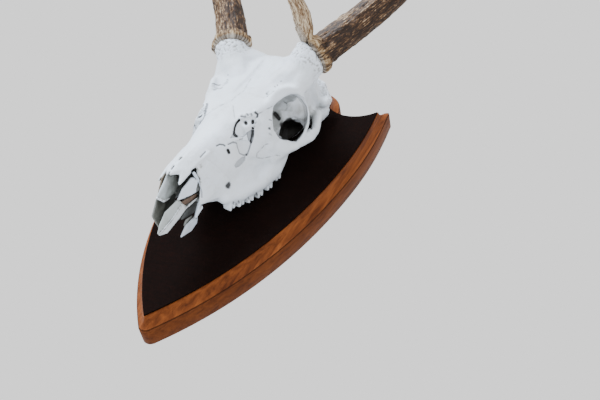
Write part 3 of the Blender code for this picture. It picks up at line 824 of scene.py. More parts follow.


# Marks on the bone: a run of the photograph's pixels, half width in pixels, depth in millimetres,
# darkness, and whether the other side of the head has it too
# The darkness is painted shade in holes, slots, cracks and along plate edges, and the seams' own dark line in
# the sutures
photoMarks = {
    "frontalSuture": ([(251.2, 76), (247.4, 81.7), (243.6, 89.3), (237.8, 95), (234, 97.9), (231.1, 101.3),
                       (226.4, 103.7)], 0.45, 0.3, 0.40, False),
    "nasalSuture": ([(226.4, 103.2), (221.6, 104.6), (216.8, 106.5), (212.5, 109.4)], 0.45, 0.3, 0.40, False),
    "lacrimalSuture": ([(233, 104.6), (233.8, 111.3), (234.5, 116.1), (235, 119.9)], 0.5, 0.3, 0.42, True),
    "socketSuture": ([(257, 114.2), (261.7, 112.3), (264.1, 110.4), (271.3, 106.5)], 0.6, 0.4, 0.5, True),
    "cheekSuture": ([(269.4, 143.8), (264.6, 145.8), (260.8, 149.6), (257, 153.4), (256.5, 157.7),
                     (262.7, 158.7), (266.5, 157.7), (272.3, 156.3), (276.1, 155.3), (279.9, 155.8)], 0.5,
                    0.4, 0.48, True),
    "plateCrack": ([(216.8, 145.8), (219.7, 144.3), (223.5, 144.8), (224.9, 145.8)], 0.75, 0.8, 0.8, True),
    "plateEdge": ([(228.3, 144.3), (233, 141.9), (236.9, 142.9), (237.4, 146.7), (238.8, 150.5),
                   (239.7, 153.4), (243.6, 155.3), (246.4, 155.3)], 0.65, 0.7, 0.6, True),
    "pitEdge": ([(247.4, 154.4), (249.8, 147.7), (251.2, 142.9), (252.6, 139)], 0.6, 0.7, 0.6, True),
    "noseSlit": ([(200.5, 157.2), (205.3, 152)], 0.7, 0.8, 0.65, True),
    "crescentTop": ([(239.3, 119.8), (236.4, 123.4), (234.8, 127.6), (234.2, 132)], 1.1, 2.4, 1.0, True),
    "crescentFoot": ([(234.2, 132), (235.2, 134.6), (237.2, 136.2)], 1.4, 2.4, 0.95, True),
    "plateRim": ([(238.2, 136.9), (243, 137), (247, 133.4), (252.4, 129.6), (255, 127), (256.8, 121.5)],
                 0.5, 0.4, 0.45, True),
    "plateNick": ([(239.6, 139.4), (242.4, 138.9)], 0.5, 0.6, 0.6, True),
    "upperHook": ([(255.1, 112.8), (257.7, 114.3), (257.2, 116.8)], 0.95, 1.5, 0.9, True),
    "nickA": ([(241.2, 116.8), (245.5, 116.6)], 0.7, 0.8, 0.65, True),
    "nickB": ([(247.2, 114.4), (248.2, 115.4)], 0.7, 0.8, 0.55, True),
    "nickC": ([(251.2, 114.2), (252, 115.4)], 0.8, 0.8, 0.55, True),
    "roundHole": ([(245.8, 122.2), (246.0, 122.7)], 2.0, 2.4, 1.0, True),
    "ovalHole": ([(253.1, 120.3), (253.4, 121.8)], 1.75, 2.4, 1.0, True),
    "smallHole": ([(253.3, 128.0), (253.5, 128.5)], 1.2, 1.8, 1.0, True),
    "pitShadow": ([(253.8, 130.4), (253.3, 135), (252.4, 139.5), (251, 143)], 0.75, 1.4, 0.95, True),
    "cornerHole": ([(246.4, 154.8), (246.5, 155)], 0.9, 1.5, 0.9, True),
    "nerveHole": ([(227.8, 150.2), (228.8, 152.6)], 1.5, 2.4, 1.0, True),
    "barSlot": ([(311.4, 120), (311.9, 124), (311.2, 128)], 1.4, 3.5, 1.0, True),
    "tearDuct": ([(275, 113.8), (277, 116), (278.8, 118.6)], 1.9, 2.5, 1.0, True),
    "socketCrack": ([(283.2, 101), (286.6, 103.6), (287, 107.6), (285.4, 110.4)], 0.6, 0.7, 0.5, True),
    "socketSeam": ([(281, 122), (287, 119), (294, 117), (303, 120)], 0.8, 0.5, 0.35, True),
    "templeSlot": ([(311.1, 120.6), (311.7, 124.5), (311.2, 128.4)], 1.25, 3.0, 1.0, True),
    "rimHoleA": ([(269.2, 128.4), (269.4, 128.8)], 1.1, 1.6, 0.85, True),
    "rimHoleB": ([(269.2, 119.8), (271, 120.4)], 0.8, 1.0, 0.55, True),
    "rimNick": ([(268.6, 133.2), (271, 135.2)], 0.6, 0.7, 0.4, True),
    "browHoleA": ([(266.7, 92.5), (266.9, 92.9)], 1.0, 1.0, 0.6, True),
    "browHoleB": ([(273.4, 91.1), (273.7, 91.3)], 0.9, 1.0, 0.75, True),
    "browHoleC": ([(267.2, 95.9), (267.4, 96.1)], 0.8, 0.9, 0.6, True),
    "browRing": ([(266.7, 92.5), (269.2, 89.7), (272, 89.5), (273.6, 91.3), (271.5, 93.6), (268, 94)], 0.7,
                 0.6, 0.42, True),
    "browSpotA": ([(274.7, 85.3), (274.9, 85.5)], 0.6, 0.6, 0.6, True),
    "browSpotB": ([(277.1, 84.2), (277.3, 84.4)], 0.6, 0.6, 0.55, True),
    "browSpotC": ([(280.7, 80.6), (280.9, 80.8)], 0.6, 0.6, 0.6, True),
    "farBrowPit": ([(224.6, 82.4), (226.6, 81.4)], 1.3, 0.8, 0.35, False),
    "farSlot": ([(207.2, 104.4), (206.4, 110), (204, 116), (199.6, 124.6)], 1.0, 1.6, 0.7, False),
    "farEdge": ([(197.4, 115.6), (195.6, 120), (195.2, 126)], 0.6, 0.6, 0.4, False),
    "noseHole": ([(193.4, 169.4), (193.5, 169.8)], 1.0, 1.6, 1.0, True),
    "cheekCanal": ([(229.9, 184.4), (228.2, 186.6)], 2.3, 2.5, 0.95, True),
    "barSuture": ([(201.2, 187.5), (202.6, 192), (202.2, 197.3)], 0.6, 0.6, 0.6, True),
    "toothGapA": ([(256.2, 192.8), (257, 195)], 0.8, 0.8, 0.65, True),
    "toothGapB": ([(248.2, 197.3), (249, 199.5)], 0.8, 0.8, 0.65, True),
    "toothGapC": ([(238.4, 200.9), (239, 203)], 0.8, 0.8, 0.65, True),
    "toothGapD": ([(233, 201.8), (233.5, 204)], 0.8, 0.8, 0.6, True),
}
# Sunk plates and openings: outline in photograph pixels, depth in millimetres and darkness of painted shade
sunkPlates = {
    "tearPit": ([(246.2, 133.5), (252.3, 129.4), (254.2, 130.4), (253.2, 139.6), (251, 143.4),
                 (248.3, 140.6)], 2.8, 0.55),
    "tearPlate": ([(238.9, 119.4), (245, 117.2), (252, 116.4), (256.4, 117), (257, 121), (254.8, 127),
                   (252.4, 129.6), (246.8, 133.6), (243, 137.2), (238, 137), (235.4, 132), (235.6, 126)],
                  1.2, 0.07),
    "tearFoot": ([(229.9, 138.4), (233.5, 132.5), (238, 137.2)], 1.2, 0.35),
    "lowerPlate": ([(228, 144.6), (233, 142.2), (238, 140), (246.8, 140.6), (250.6, 143.4), (249.4, 149),
                    (247.2, 154.2), (243.6, 155.1), (239.7, 153.2), (238.4, 149), (236.9, 143.8)], 1.0, 0.07),
    "canalPit": ([(234.4, 165.6), (236.6, 161.6), (241.5, 157.4), (245.8, 156.2), (245.2, 160.6),
                  (240.2, 166.6), (236.2, 168)], 1.8, 0.40),
    "socketHole": ([(281.4, 125.3), (284.6, 121.4), (288.4, 121.8), (291.1, 119.7), (295, 121.8),
                    (300.3, 122.6), (303.4, 126.3), (303.4, 131.4), (296.2, 141.8), (289.1, 141),
                    (278.9, 135.5)], 0.5, 1.0),
    "barInside": ([(288.5, 94), (297, 93.3), (303, 97), (306.5, 104), (308, 114), (307, 124), (303, 133),
                   (297.5, 141.5), (301, 133), (304, 125), (304.3, 114), (302, 104), (297, 97.5)], 0.3,
                  0.30),
}
# Broad swellings and dips: run of pixels, half width and height in millimetres, less than nothing for a dip
softForms = [([(234, 180), (248, 175), (262, 168.5)], 8.0, -2.4),
             ([(230, 195), (247, 187), (266, 179), (279, 171)], 6.5, 1.6),
             ([(205, 186), (218, 189)], 9.0, -2.2),
             ([(269, 103), (277, 94.5), (288, 89.5), (299, 91), (306, 98)], 4.0, 1.4),
             ([(266, 93), (276, 85), (283, 79)], 6.0, -1.6),
             ([(240, 85), (262, 66)], 12.0, -1.4),
             ([(316.5, 78), (314, 88), (317.5, 99), (326, 103)], 3.2, 1.7),
             ([(310.5, 88), (312, 100), (316, 112)], 5.5, -2.4),
             ([(219, 93), (224, 84), (233, 77)], 7.0, -1.8),
             ([(257, 124), (262, 137), (268, 143)], 5.0, -1.3),
             ([(270, 147), (283, 150), (298, 146)], 3.5, 1.3)]
# Small raised spikes at the edge of the tear bone and of the socket: pixel, half width and height
smallSpikes = [((241, 115.2), 1.3, 1.3), ((245.8, 114.2), 1.2, 1.4), ((249.6, 113.4), 1.2, 1.2),
               ((255.4, 111.6), 1.6, 1.6), ((269.6, 121.5), 1.6, 1.6), ((270.2, 125.4), 1.5, 1.5),
               ((269.6, 131.4), 1.7, 1.6), ((271, 136), 1.3, 1.2)]


def photoRay(camera, pixel):
    # Direction from the camera through a pixel of the photograph
    width, height = cameraSettings["photoSize"]
    focal = cameraSettings["lens"] / cameraSettings["sensor"] * width
    local = Vector(((pixel[0] - width / 2) / focal, (height / 2 - pixel[1]) / focal, -1.0))
    return (camera.matrix_world.to_3x3() @ local).normalized()


def onBone(camera, tree, pixel):
    place, normal, index, distance = tree.ray_cast(camera.matrix_world.translation, photoRay(camera, pixel))
    return place


def pathOnBone(camera, tree, pixels, spacing=0.4):
    # Points along a run of pixels, dropped on the bone
    path = []
    for first, second in zip(pixels, pixels[1:]):
        length = math.dist(first, second)
        steps = max(1, int(length / spacing))
        for step in range(steps + 1):
            share = step / steps
            pixel = (first[0] + (second[0] - first[0]) * share, first[1] + (second[1] - first[1]) * share)
            place = onBone(camera, tree, pixel)
            if place:
                path.append(place)
    return path


def insideOutline(pixels, outline):
    # Even and odd crossings, for arrays of pixels
    inside = np.zeros(len(pixels), dtype=bool)
    for (firstX, firstY), (secondX, secondY) in zip(outline, outline[1:] + outline[:1]):
        crosses = (firstY > pixels[:, 1]) != (secondY > pixels[:, 1])
        slope = (secondX - firstX) / (secondY - firstY + 1e-12)
        inside ^= crosses & (pixels[:, 0] < firstX + (pixels[:, 1] - firstY) * slope)
    return inside


def toPixels(camera, places):
    width, height = cameraSettings["photoSize"]
    focal = cameraSettings["lens"] / cameraSettings["sensor"] * width
    inverse = np.array(camera.matrix_world.inverted())
    local = places @ inverse[:3, :3].T + inverse[:3, 3]
    return np.stack([width / 2 + local[:, 0] / -local[:, 2] * focal,
                     height / 2 - local[:, 1] / -local[:, 2] * focal], axis=1)


def boneTree(skull):
    return BVHTree.FromPolygons([tuple(vertex.co) for vertex in skull.data.vertices],
                                [tuple(face.vertices) for face in skull.data.polygons])


def markPaths(skull, camera):
    # Every mark as points on the bone, with the other side's copy of the paired ones
    tree = boneTree(skull)
    paths = {}
    for name, (pixels, halfWidth, depth, darkness, paired) in photoMarks.items():
        path = pathOnBone(camera, tree, pixels)
        paths[name] = path + [mirrored(place, -1) for place in path if paired]
    for name, (outline, depth, darkness) in sunkPlates.items():
        path = pathOnBone(camera, tree, outline + outline[:1])
        paths[name] = path + [mirrored(place, -1) for place in path]
    return paths


def refineAtMarks(skull, paths):
    # Smaller faces where a mark runs
    finder = placeFinder([place for path in paths.values() for place in path])
    for reach in skullSettings["refineReach"]:
        selectOnly(skull)
        bpy.ops.object.mode_set(mode="EDIT")
        bpy.ops.mesh.select_mode(type="FACE")
        bpy.ops.mesh.select_all(action="DESELECT")
        bpy.ops.object.mode_set(mode="OBJECT")
        for face in skull.data.polygons:
            face.select = finder.find(face.center)[2] < reach
        bpy.ops.object.mode_set(mode="EDIT")
        bpy.ops.mesh.subdivide(number_cuts=1)
        bpy.ops.mesh.select_mode(type="VERT")
        bpy.ops.object.mode_set(mode="OBJECT")


def isSeen(tree, eye, place):
    way = Vector(place) - eye
    hit, normal, index, distance = tree.ray_cast(eye, way.normalized(), way.length)
    return hit is None or distance > way.length - skullSettings["seenWithin"]


def cutMarks(camera, paths, finder, seenPixels, dark):
    # How far each place goes in along the way that it is looked at, from either side
    cuts = {side: np.zeros(len(dark)) for side in (1, -1)}
    for name, (pixels, halfWidth, depth, darkness, paired) in photoMarks.items():
        path = paths[name]
        for number, place in enumerate(path):
            side = -1 if paired and number >= len(path) // 2 else 1
            middle = toPixels(camera, np.array([place]) * [side, 1, 1])[0]
            # A fine crack fades in and out along its way
            fade = 1.0
            if darkness <= skullSettings["fineCrack"]:
                fade = min(1.0, max(0.2, 0.6 + 1.5 * noise.noise(place * skullSettings["fadeScale"])))
            reach = (halfWidth + 0.4) * skullSettings["pixelReach"]
            for found, index, distance in finder.find_range(place, reach):
                away = math.dist(seenPixels[side][index], middle)
                past = (away - halfWidth * 0.7) / (halfWidth * 0.4 + 0.25)
                share = fade * (1.0 - min(1.0, max(0.0, past)))
                # Painted shade in holes, slots and cracks, and the sutures' own dark line
                dark[index] = max(dark[index], darkness * share)
                cuts[side][index] = max(cuts[side][index], depth * share)
    return cuts


def sinkAtPlates(camera, tree, places, seenPixels, dark, sink):
    for side in (1, -1):
        eye = mirrored(camera.matrix_world.translation, side)
        for outline, depth, darkness in sunkPlates.values():
            inside = insideOutline(seenPixels[side], outline)
            inside &= places[:, 0] * side > skullSettings["plateSide"]
            for index in np.nonzero(inside)[0]:
                if isSeen(tree, eye, places[index]):
                    sink[index] = max(sink[index], depth)
                    # Painted shade on the sunk plates, near black in the openings
                    dark[index] = max(dark[index], darkness)


def raiseForms(camera, tree, places, finder, sink):
    for pixels, halfWidth, height in softForms:
        path = pathOnBone(camera, tree, pixels, 1.5)
        for side in (1, -1):
            form = placeFinder([mirrored(place, side) for place in path])
            for index, place in enumerate(places):
                if place[0] * side > skullSettings["formSide"]:
                    away = form.find(place)[2] * 1000 / halfWidth
                    if away < 2.0:
                        sink[index] -= height * math.cos(away * math.pi / 4) ** 2
    for pixel, halfWidth, height in smallSpikes:
        place = onBone(camera, tree, pixel)
        for side in (1, -1):
            for found, index, distance in finder.find_range(mirrored(place, side), halfWidth * 2 / 1000):
                sink[index] -= height * (1.0 - distance * 500 / halfWidth)


def paintTunnelShade(places, skullPlaces, dark):
    # The way down behind the socket gets painted shade, near black
    tunnel = skullSettings["tunnel"]
    near, far = skullSettings["tunnelEdge"]
    wobble = noiseAt(places, skullSettings["tunnelWobble"][0]) * skullSettings["tunnelWobble"][1]
    for start, end in links(tunnel):
        first, second = np.array(start), np.array(end)
        way = second[:3] - first[:3]
        for side in (1, -1):
            offset = skullPlaces * np.array([1, side, 1]) - first[:3]
            share = np.clip(offset @ way / (way @ way), 0.0, 1.0)
            distance = np.linalg.norm(offset - share[:, None] * way, axis=1)
            radius = first[3] + (second[3] - first[3]) * share
            depth = 1.0 - smoothStep(distance + wobble, radius + near, radius + far)
            if start == tunnel[0]:
                depth = depth * smoothStep(share, *skullSettings["tunnelMouth"])
            np.maximum(dark, depth * skullSettings["tunnelPaintedShade"], out=dark)


def roughShare(skullPlaces):
    # The bone is rougher near the antlers and the nape
    seat = np.array(antlerSettings["seat"])
    nearSeat = np.minimum(np.linalg.norm(skullPlaces - seat, axis=1),
                          np.linalg.norm(skullPlaces - seat * np.array([1, -1, 1]), axis=1))
    rough = 1.0 - smoothStep(nearSeat, *skullSettings["roughReach"])
    nape = 1.0 - smoothStep(skullPlaces[:, 0], 0.0, skullSettings["napeReach"])
    return np.maximum(rough, skullSettings["napeRough"] * nape)


def markBone(skull, camera):
    paths = markPaths(skull, camera)
    refineAtMarks(skull, paths)
    places = vertexArray(skull)
    normals = normalArray(skull)
    skullPlaces = toSkull(places)
    tree = boneTree(skull)
    finder = placeFinder(places)
    seenPixels = {side: toPixels(camera, places * [side, 1, 1]) for side in (1, -1)}
    dark = np.zeros(len(places))
    sink = np.zeros(len(places))
    cuts = cutMarks(camera, paths, finder, seenPixels, dark)
    sinkAtPlates(camera, tree, places, seenPixels, dark, sink)
    raiseForms(camera, tree, places, finder, sink)
    paintTunnelShade(places, skullPlaces, dark)
    rough = roughShare(skullPlaces)
    grain = noiseAt(places, skullSettings["grainScale"])
    wave = noiseAt(places, skullSettings["waveScale"]) * skullSettings["waveDepth"]
    moved = places - normals * (sink / 1000)[:, None]
    for side in (1, -1):
        look = places - np.array(camera.matrix_world.translation) * np.array([side, 1, 1])
        look /= np.linalg.norm(look, axis=1)[:, None]
        moved += look * (cuts[side] / 1000)[:, None]
    even, more = skullSettings["grainDepth"]
    moved += normals * ((grain * (even + more * rough) + wave) / 1000)[:, None]
    setVertices(skull, moved)
    storeValues(skull, "dark", dark)
    # The low pits of the rough bone are kept for painted shade
    storeValues(skull, "pits", rough * smoothStep(-grain, *skullSettings["pitGrain"]))
    # How closed in by bone a place is, kept as painted shade for the hollows
    storeValues(skull, "paintedHollowShade", innerShade(places, normals, tree))


def innerShade(places, normals, tree):
    # Share of a few looks outwards that meet more bone within a short way
    looks = [Vector((0.0, 0.0, 1.0))]
    for lean in skullSettings["shadeLeans"]:
        across = math.sin(lean)
        for step in range(5):
            turn = math.radians(72 * step + 30 * lean)
            looks.append(Vector((across * math.cos(turn), across * math.sin(turn), math.cos(lean))))
    shade = np.zeros(len(places))
    # Every fourth place looks round, and the others go by the three nearest of those
    every = skullSettings["shadeEvery"]
    reach = skullSettings["shadeReach"]
    for index in range(0, len(places), every):
        normal = Vector(normals[index])
        turn = normal.to_track_quat("Z", "Y")
        start = Vector(places[index]) + normal * skullSettings["shadeStart"]
        met = sum(1 for look in looks if tree.ray_cast(start, turn @ look, reach)[0])
        shade[index] = met / len(looks)
    finder = placeFinder(places[::every])
    for index in range(len(places)):
        if index % every:
            near = finder.find_n(places[index], 3)
            shade[index] = sum(shade[found[1] * every] for found in near) / 3
    return shade


def paintBone(skull):
    tree, shader = newMaterial(skull, "bleachedBone")
    place = scaledPlace(tree, (1.0, 1.0, 1.0))
    clouds = addNoise(tree, place, 22.0, 5.0, 0.6)
    specks = addNoise(tree, place, 700.0, 3.0, 0.6)
    stains = addNoise(tree, place, 75.0, 6.0, 0.7)
    base = addRamp(tree, clouds, [(0.30, (0.71, 0.75, 0.80)), (0.55, (0.79, 0.85, 0.94)),
                                  (0.8, (0.82, 0.89, 1.0))])
    spots = addRamp(tree, stains, [(0.30, (0.86, 0.86, 0.84)), (0.46, (1.0, 1.0, 1.0))])
    base = mixColours(tree, 1.0, base, spots, "MULTIPLY")
    # Painted shade: the more bone closes round a place, the darker its colour
    shade = addRamp(tree, readValues(tree, "paintedHollowShade"), [(0.12, (1.0, 1.0, 1.0)), (0.4, (0.70, 0.69, 0.66)),
                                                      (0.7, (0.40, 0.39, 0.35)), (1.0, (0.06, 0.055, 0.045))])
    colour = mixColours(tree, 1.0, base, shade, "MULTIPLY")
    # Each snout plate's tone, painted shade on the darker plates inside the nose
    toneAndShade = addNode(tree, "ShaderNodeAttribute", attribute_name="toneAndShade").outputs["Color"]
    colour = mixColours(tree, 1.0, colour, toneAndShade, "MULTIPLY")
    # Painted shade in the low pits of the rough bone
    pits = mathNode(tree, "MULTIPLY", readValues(tree, "pits"), 0.75)
    colour = mixColours(tree, pits, colour, (0.20, 0.18, 0.15))
    # dark: painted shade, near black, in holes, slots, cracks, sunk plates and the tunnel, and the sutures'
    # own dark line
    colour = mixColours(tree, readValues(tree, "dark"), colour, (0.010, 0.009, 0.008))
    tree.links.new(colour, shader.inputs["Base Color"])
    shader.inputs["Roughness"].default_value = 0.5
    shader.inputs["Specular IOR Level"].default_value = 0.35
    relief = addNoise(tree, place, 130.0, 5.0, 0.6)
    height = mathNode(tree, "ADD", mathNode(tree, "MULTIPLY", specks, 0.2), relief)
    addBump(tree, shader, height, 0.35, 0.0016)


def triangleCount(piece):
    return sum(len(face.vertices) - 2 for face in piece.data.polygons)


def thinOut(piece, most):
    # Flat stretches give up their small faces first
    applyModifier(piece, "DECIMATE", ratio=most / triangleCount(piece))


def makeSkull(camera):
    mass = makeHeadMass()
    print("head mass made")
    cutAway(mass, makeHollows())
    skull = joinPieces([mass] + makeFaceAndTeeth(), "buckSkull")
    remesh(skull, skullSettings["fineVoxel"])
    soften(skull, skullSettings["fineRounds"])
    cutAtFelt(skull)
    storeToneAndShade(skull, (1.0, 1.0, 1.0))
    skull = joinPieces([skull] + makeSnout(), "buckSkull")
    print("skull shaped", len(skull.data.polygons))
    markBone(skull, camera)
    thinOut(skull, skullSettings["mostTriangles"])
    selectOnly(skull)
    bpy.ops.object.shade_smooth()
    paintBone(skull)
    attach(skull, "root")
    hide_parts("skull")
    print("skull made", triangleCount(skull))


# Antlers, their points in the skull's frame for its left side

antlerSettings = {
    "seat": (63.0, 49.5, 127.5),
    "voxel": 0.00095,
    "burrRadius": 21.5,
    "burrBead": 4.0,
    "burrBeads": 19,
    "tipRadius": 2.6,
    "beams": {
        "antlerLeft": [(63.0, 49.5, 127.5), (-52.0, 132.0, 194.0), (-74.0, 220.0, 296.0),
                       (80.0, 196.0, 372.0)],
        "antlerRight": [(63.0, 49.5, 127.5), (-38.0, 104.0, 205.0), (-66.0, 214.0, 300.0),
                        (84.0, 190.0, 372.0)],
    },
    "beamRadius": 17.5,
    "beamTaper": 0.42,
    "browTine": [(74.0, 38.0, 134.0), (66.0, 50.0, 162.0), (74.0, 44.0, 190.0), (94.0, 26.0, 216.0)],
    "browRadius": 11.8,
    "tineRadius": 10.5,
    # share along the beam, lean of the first stretch, reach of the tip
    "tines": [(0.36, (10.0, 20.0, 60.0), (38.0, 6.0, 140.0)), (0.68, (6.0, 4.0, 50.0), (34.0, -16.0, 112.0))],
    "forkReach": 0.14,
    # Scales of the surface's noises, round a limb and along it, and their heights in millimetres
    "grooveScale": (2.3, 16.0),
    "fineScale": (5.5, 45.0),
    "beadScale": (6.5, 150.0),
    "grooveEdge": 2.4,
    "grooveHeight": 0.75,
    "fineHeight": 0.55,
    "beadHeight": 1.6,
    # Metres over the skull where beads and stain end, and the burr's height, reach and fading edge
    "beadClimb": 0.13,
    "stainClimb": 0.15,
    "footClimb": 0.006,
    "footReach": 0.025,
    "footFade": 0.008,
    "tinePale": 0.20,
    # Which way the beam's painted shaded side faces, and how bright its coat is
    "shadedSides": {"antlerLeft": (0.0, 30.0, -60.0), "antlerRight": (0.0, 60.0, 0.0)},
    "lightness": {"antlerLeft": 0.32, "antlerRight": 0.37},
}


def onCurve(points, share):
    rest = 1.0 - share
    weights = (rest ** 3, 3 * rest ** 2 * share, 3 * rest * share ** 2, share ** 3)
    return sum((Vector(point) * weight for point, weight in zip(points, weights)), Vector((0.0, 0.0, 0.0)))


def limbBalls(points, radius, steps, taper):
    tip = antlerSettings["tipRadius"]
    return [(*onCurve(points, step / steps), tip + (radius - tip) * (1.0 - step / steps) ** taper)
            for step in range(steps + 1)]


def antlerLimbs(name, side):
    # Every limb as a run of balls, on the asked side of the head
    beam = antlerSettings["beams"][name]
    limbs = [limbBalls(beam, antlerSettings["beamRadius"], 30, antlerSettings["beamTaper"])]
    if side > 0:
        limbs.append(limbBalls(antlerSettings["browTine"], antlerSettings["browRadius"], 10, 0.5))
    webs = []
    for share, lean, reach in antlerSettings["tines"]:
        root = onCurve(beam, share)
        points = [root, root + Vector(lean) * 0.5, root + Vector(lean), root + Vector(reach)]
        tine = limbBalls(points, antlerSettings["tineRadius"], 10, 0.8)
        limbs.append(tine)
        below = onCurve(beam, share - antlerSettings["forkReach"])
        above = onCurve(beam, share + antlerSettings["forkReach"] / 2)
        webs.append([(*below, antlerSettings["tineRadius"] * 1.25), tine[1], tine[4],
                     (*above, antlerSettings["tineRadius"])])
    if side < 0:
        limbs = [otherSide(limb) for limb in limbs]
        webs = [otherSide(web) for web in webs]
    return limbs, webs


def makeBurr(name, side):
    # Knobbly ring at the foot of the antler
    seat, along, across, beside = beamFoot(name)
    bead = antlerSettings["burrBead"]
    beads = []
    for step in range(antlerSettings["burrBeads"]):
        turn = 2 * math.pi * step / antlerSettings["burrBeads"]
        swell = 1.0 + 0.35 * noise.noise(Vector((step * 1.7, side * 3.1, 0.5)))
        place = seat + along * bead * 1.15 + (across * math.cos(turn) + beside * math.sin(turn)) * (
            antlerSettings["burrRadius"] * (0.96 + 0.07 * swell) - bead)
        beads.append((*place, bead * swell))
    groups = [[(*place[:3], bead * 0.7) for place in beads]]
    groups += [[ball, (*(Vector(ball[:3]) + along * 5.0 * ball[3] / bead), ball[3] * 0.8)] for ball in beads]
    if side < 0:
        groups = [otherSide(group) for group in groups]
    return wrapGroups(groups, bothSides=False)


def limbStations(limbs):
    # Places along every limb with a frame that turns as little as it can
    stations = []
    for number, limb in enumerate(limbs):
        path = [toWorld(ball[:3]) for ball in limb]
        travelled = 0.0
        beside = (path[1] - path[0]).orthogonal().normalized()
        for index, (start, end) in enumerate(zip(path, path[1:])):
            direction = (end - start).normalized()
            beside = (beside - direction * beside.dot(direction)).normalized()
            for step in range(4):
                share = step / 4
                stations.append((start.lerp(end, share), direction, beside,
                                 travelled + (end - start).length * share,
                                 (index + share) / (len(path) - 1), number))
            travelled += (end - start).length
    return stations


def roughenAntler(piece, limbs, seat, alongWorld, shadedSide, seed):
    # Grooves along each limb and beads near the foot, moved along the normals
    places = vertexArray(piece)
    normals = normalArray(piece)
    stations = limbStations(limbs)
    finder = placeFinder([station[0] for station in stations])
    height = np.zeros(len(places))
    foot = np.zeros(len(places))
    tipShare = np.zeros(len(places))
    pale = np.zeros(len(places))
    nearSeat = np.zeros(len(places))
    flow = np.zeros((len(places), 3))
    grooveRound, grooveAlong = antlerSettings["grooveScale"]
    fineRound, fineAlong = antlerSettings["fineScale"]
    beadRound, beadAlong = antlerSettings["beadScale"]
    edge, fade = antlerSettings["grooveEdge"], antlerSettings["footFade"]
    for index, place in enumerate(places):
        here = Vector(place)
        centre, direction, beside, travelled, share, number = stations[finder.find(here)[1]]
        out = here - centre
        travelled += out.dot(direction)
        out -= direction * out.dot(direction)
        out.normalize()
        round1, round2 = out.dot(beside), out.dot(direction.cross(beside))
        climb = (here - seat).dot(alongWorld)
        # Noise that is stretched along the limb
        broadRun = Vector((round1 * grooveRound + seed, round2 * grooveRound, travelled * grooveAlong))
        groove = antlerSettings["grooveHeight"] * (1.0 - edge * abs(noise.noise(broadRun)))
        fineRun = Vector((round1 * fineRound, round2 * fineRound + seed, travelled * fineAlong))
        fineGroove = antlerSettings["fineHeight"] * (1.0 - edge * abs(noise.noise(fineRun)))
        bead = noise.noise(Vector((round1 * beadRound, round2 * beadRound, travelled * beadAlong + seed)))
        beading = antlerSettings["beadHeight"] * max(0.12, 1.0 - climb / antlerSettings["beadClimb"])
        smoothTip = max(0.0, 1.0 - share * 1.1)
        height[index] = (groove + fineGroove) * smoothTip + max(0.0, bead) * beading
        # The burr, by height over the skull and by distance from the beam's foot
        low = max(0.0, 1.0 - max(0.0, climb - antlerSettings["footClimb"]) / fade)
        close = max(0.0, 1.0 - max(0.0, (here - seat).length - antlerSettings["footReach"]) / fade)
        foot[index] = low * close
        tipShare[index] = share
        # The beam is stained near the skull, and tines are worn paler than it
        if number == 0:
            nearSeat[index] = min(1.0, max(0.0, 1.15 - climb / antlerSettings["stainClimb"]))
        else:
            pale[index] = antlerSettings["tinePale"] * min(1.0, share * 3.0)
        flow[index] = (round1, round2, travelled)
    setVertices(piece, places + normals * ((height - 0.5) * 0.001)[:, None])
    storeValues(piece, "ridge", np.clip(height * 0.30 + 0.30, 0.0, 1.0))
    storeValues(piece, "foot", foot)
    storeValues(piece, "reach", tipShare)
    # The beam is stained darkest near the skull, and painted shade darkens its one side
    stainAndShade = nearSeat * (0.25 + 0.75 * np.clip(normals @ np.array(shadedSide) * 0.9 + 0.3, 0.0, 1.0))
    storeValues(piece, "pale", pale - 0.15 * stainAndShade * (1.0 - foot))
    storeValues(piece, "under", np.clip(-(normals @ np.array(alongWorld)) * 1.6 - 0.6, 0.0, 0.75) * foot)
    attribute = piece.data.attributes.new("flow", "FLOAT_VECTOR", "POINT")
    attribute.data.foreach_set("vector", flow.astype(np.float32).ravel())


def addFlowNoise(tree, flow, scale, detail=4.0, rough=0.6):
    # Noise in the limb's own run: round it twice, and along it
    mapping = tree.nodes.new("ShaderNodeMapping")
    mapping.inputs["Scale"].default_value = scale
    tree.links.new(flow, mapping.inputs["Vector"])
    return addNoise(tree, mapping.outputs["Vector"], 1.0, detail, rough)


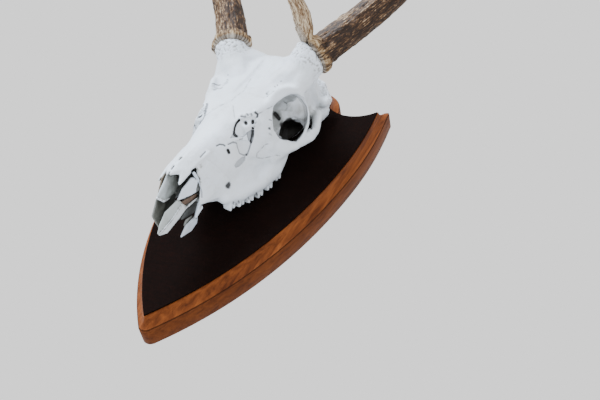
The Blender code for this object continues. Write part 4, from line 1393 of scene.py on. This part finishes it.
def paintAntler(piece, lightness):
    tree, shader = newMaterial(piece, "antlerBone")
    flow = addNode(tree, "ShaderNodeAttribute", attribute_name="flow").outputs["Vector"]
    streaks = addFlowNoise(tree, flow, (5.0, 5.0, 30.0))
    fineStreaks = addFlowNoise(tree, flow, (13.0, 13.0, 85.0))
    beads = addFlowNoise(tree, flow, (9.0, 9.0, 260.0), 2.0)
    patches = addNoise(tree, scaledPlace(tree, (1.0, 1.0, 1.0)), 30.0, 3.0, 0.5)
    level = mathNode(tree, "MULTIPLY", readValues(tree, "ridge"), 0.30)
    for source, weight in ((streaks, 0.60), (fineStreaks, 1.00), (beads, 0.75), (patches, 0.40)):
        around = mathNode(tree, "SUBTRACT", source, 0.5)
        level = mathNode(tree, "ADD", level, mathNode(tree, "MULTIPLY", around, weight))
    # pale also carries the beam's stain and its painted shade on one side
    level = mathNode(tree, "ADD", mathNode(tree, "ADD", level, lightness), readValues(tree, "pale"))
    base = addRamp(tree, level, [(0.30, (0.017, 0.0075, 0.0033)), (0.46, (0.070, 0.032, 0.013)),
                                 (0.58, (0.22, 0.128, 0.062)), (0.76, (0.62, 0.50, 0.35))])
    gold = addRamp(tree, level, [(0.28, (0.022, 0.010, 0.004)), (0.44, (0.15, 0.080, 0.030)),
                                 (0.62, (0.42, 0.30, 0.17)), (0.8, (0.70, 0.60, 0.45))])
    colour = mixColours(tree, readValues(tree, "foot"), base, gold)
    underside = addRamp(tree, level, [(0.30, (0.10, 0.08, 0.06)), (0.62, (0.40, 0.38, 0.35))])
    colour = mixColours(tree, readValues(tree, "under"), colour, underside)
    tips = addRamp(tree, readValues(tree, "reach"), [(0.86, (0.0, 0.0, 0.0)), (1.0, (1.0, 1.0, 1.0))])
    colour = mixColours(tree, tips, colour, (0.52, 0.43, 0.31))
    tree.links.new(colour, shader.inputs["Base Color"])
    shader.inputs["Roughness"].default_value = 0.6
    shader.inputs["Specular IOR Level"].default_value = 0.3
    addBump(tree, shader, fineStreaks, 0.5, 0.0012)


def makeAntler(name, node, side):
    limbs, webs = antlerLimbs(name, side)
    groups = [pair for limb in limbs for pair in links(limb)] + webs
    pieces = wrapGroups(groups, bothSides=False) + makeBurr(name, side)
    antler = joinPieces(pieces, name)
    remesh(antler, antlerSettings["voxel"])
    soften(antler, 3)
    start, along = beamFoot(name)[:2]
    seat = toWorld((start.x, start.y * side, start.z))
    ahead = start + along * 20
    alongWorld = (toWorld((ahead.x, ahead.y * side, ahead.z)) - seat).normalized()
    # Flat foot on the skull
    selectOnly(antler)
    bpy.ops.object.mode_set(mode="EDIT")
    bpy.ops.mesh.select_all(action="SELECT")
    bpy.ops.mesh.bisect(plane_co=seat + alongWorld * 0.0004, plane_no=alongWorld, use_fill=True,
                        clear_inner=True)
    bpy.ops.object.mode_set(mode="OBJECT")
    # The cut can leave doubled faces round its edge, which go
    antler.data.validate()
    shadedSide = (toWorld(antlerSettings["shadedSides"][name]) - toWorld((0.0, 0.0, 0.0))).normalized()
    roughenAntler(antler, limbs, seat, alongWorld, shadedSide, 4.0 + side)
    selectOnly(antler)
    bpy.ops.object.shade_smooth()
    paintAntler(antler, antlerSettings["lightness"][name])
    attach(antler, "root")
    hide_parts(node)
    print(name, "made", len(antler.data.polygons))


deselectAll()
camera = addCamera()
addLights()
addFloor()
makeBoard()
makeFelt()
makeSkull(camera)
makeAntler("antlerLeft", "antler_left", 1)
makeAntler("antlerRight", "antler_right", -1)
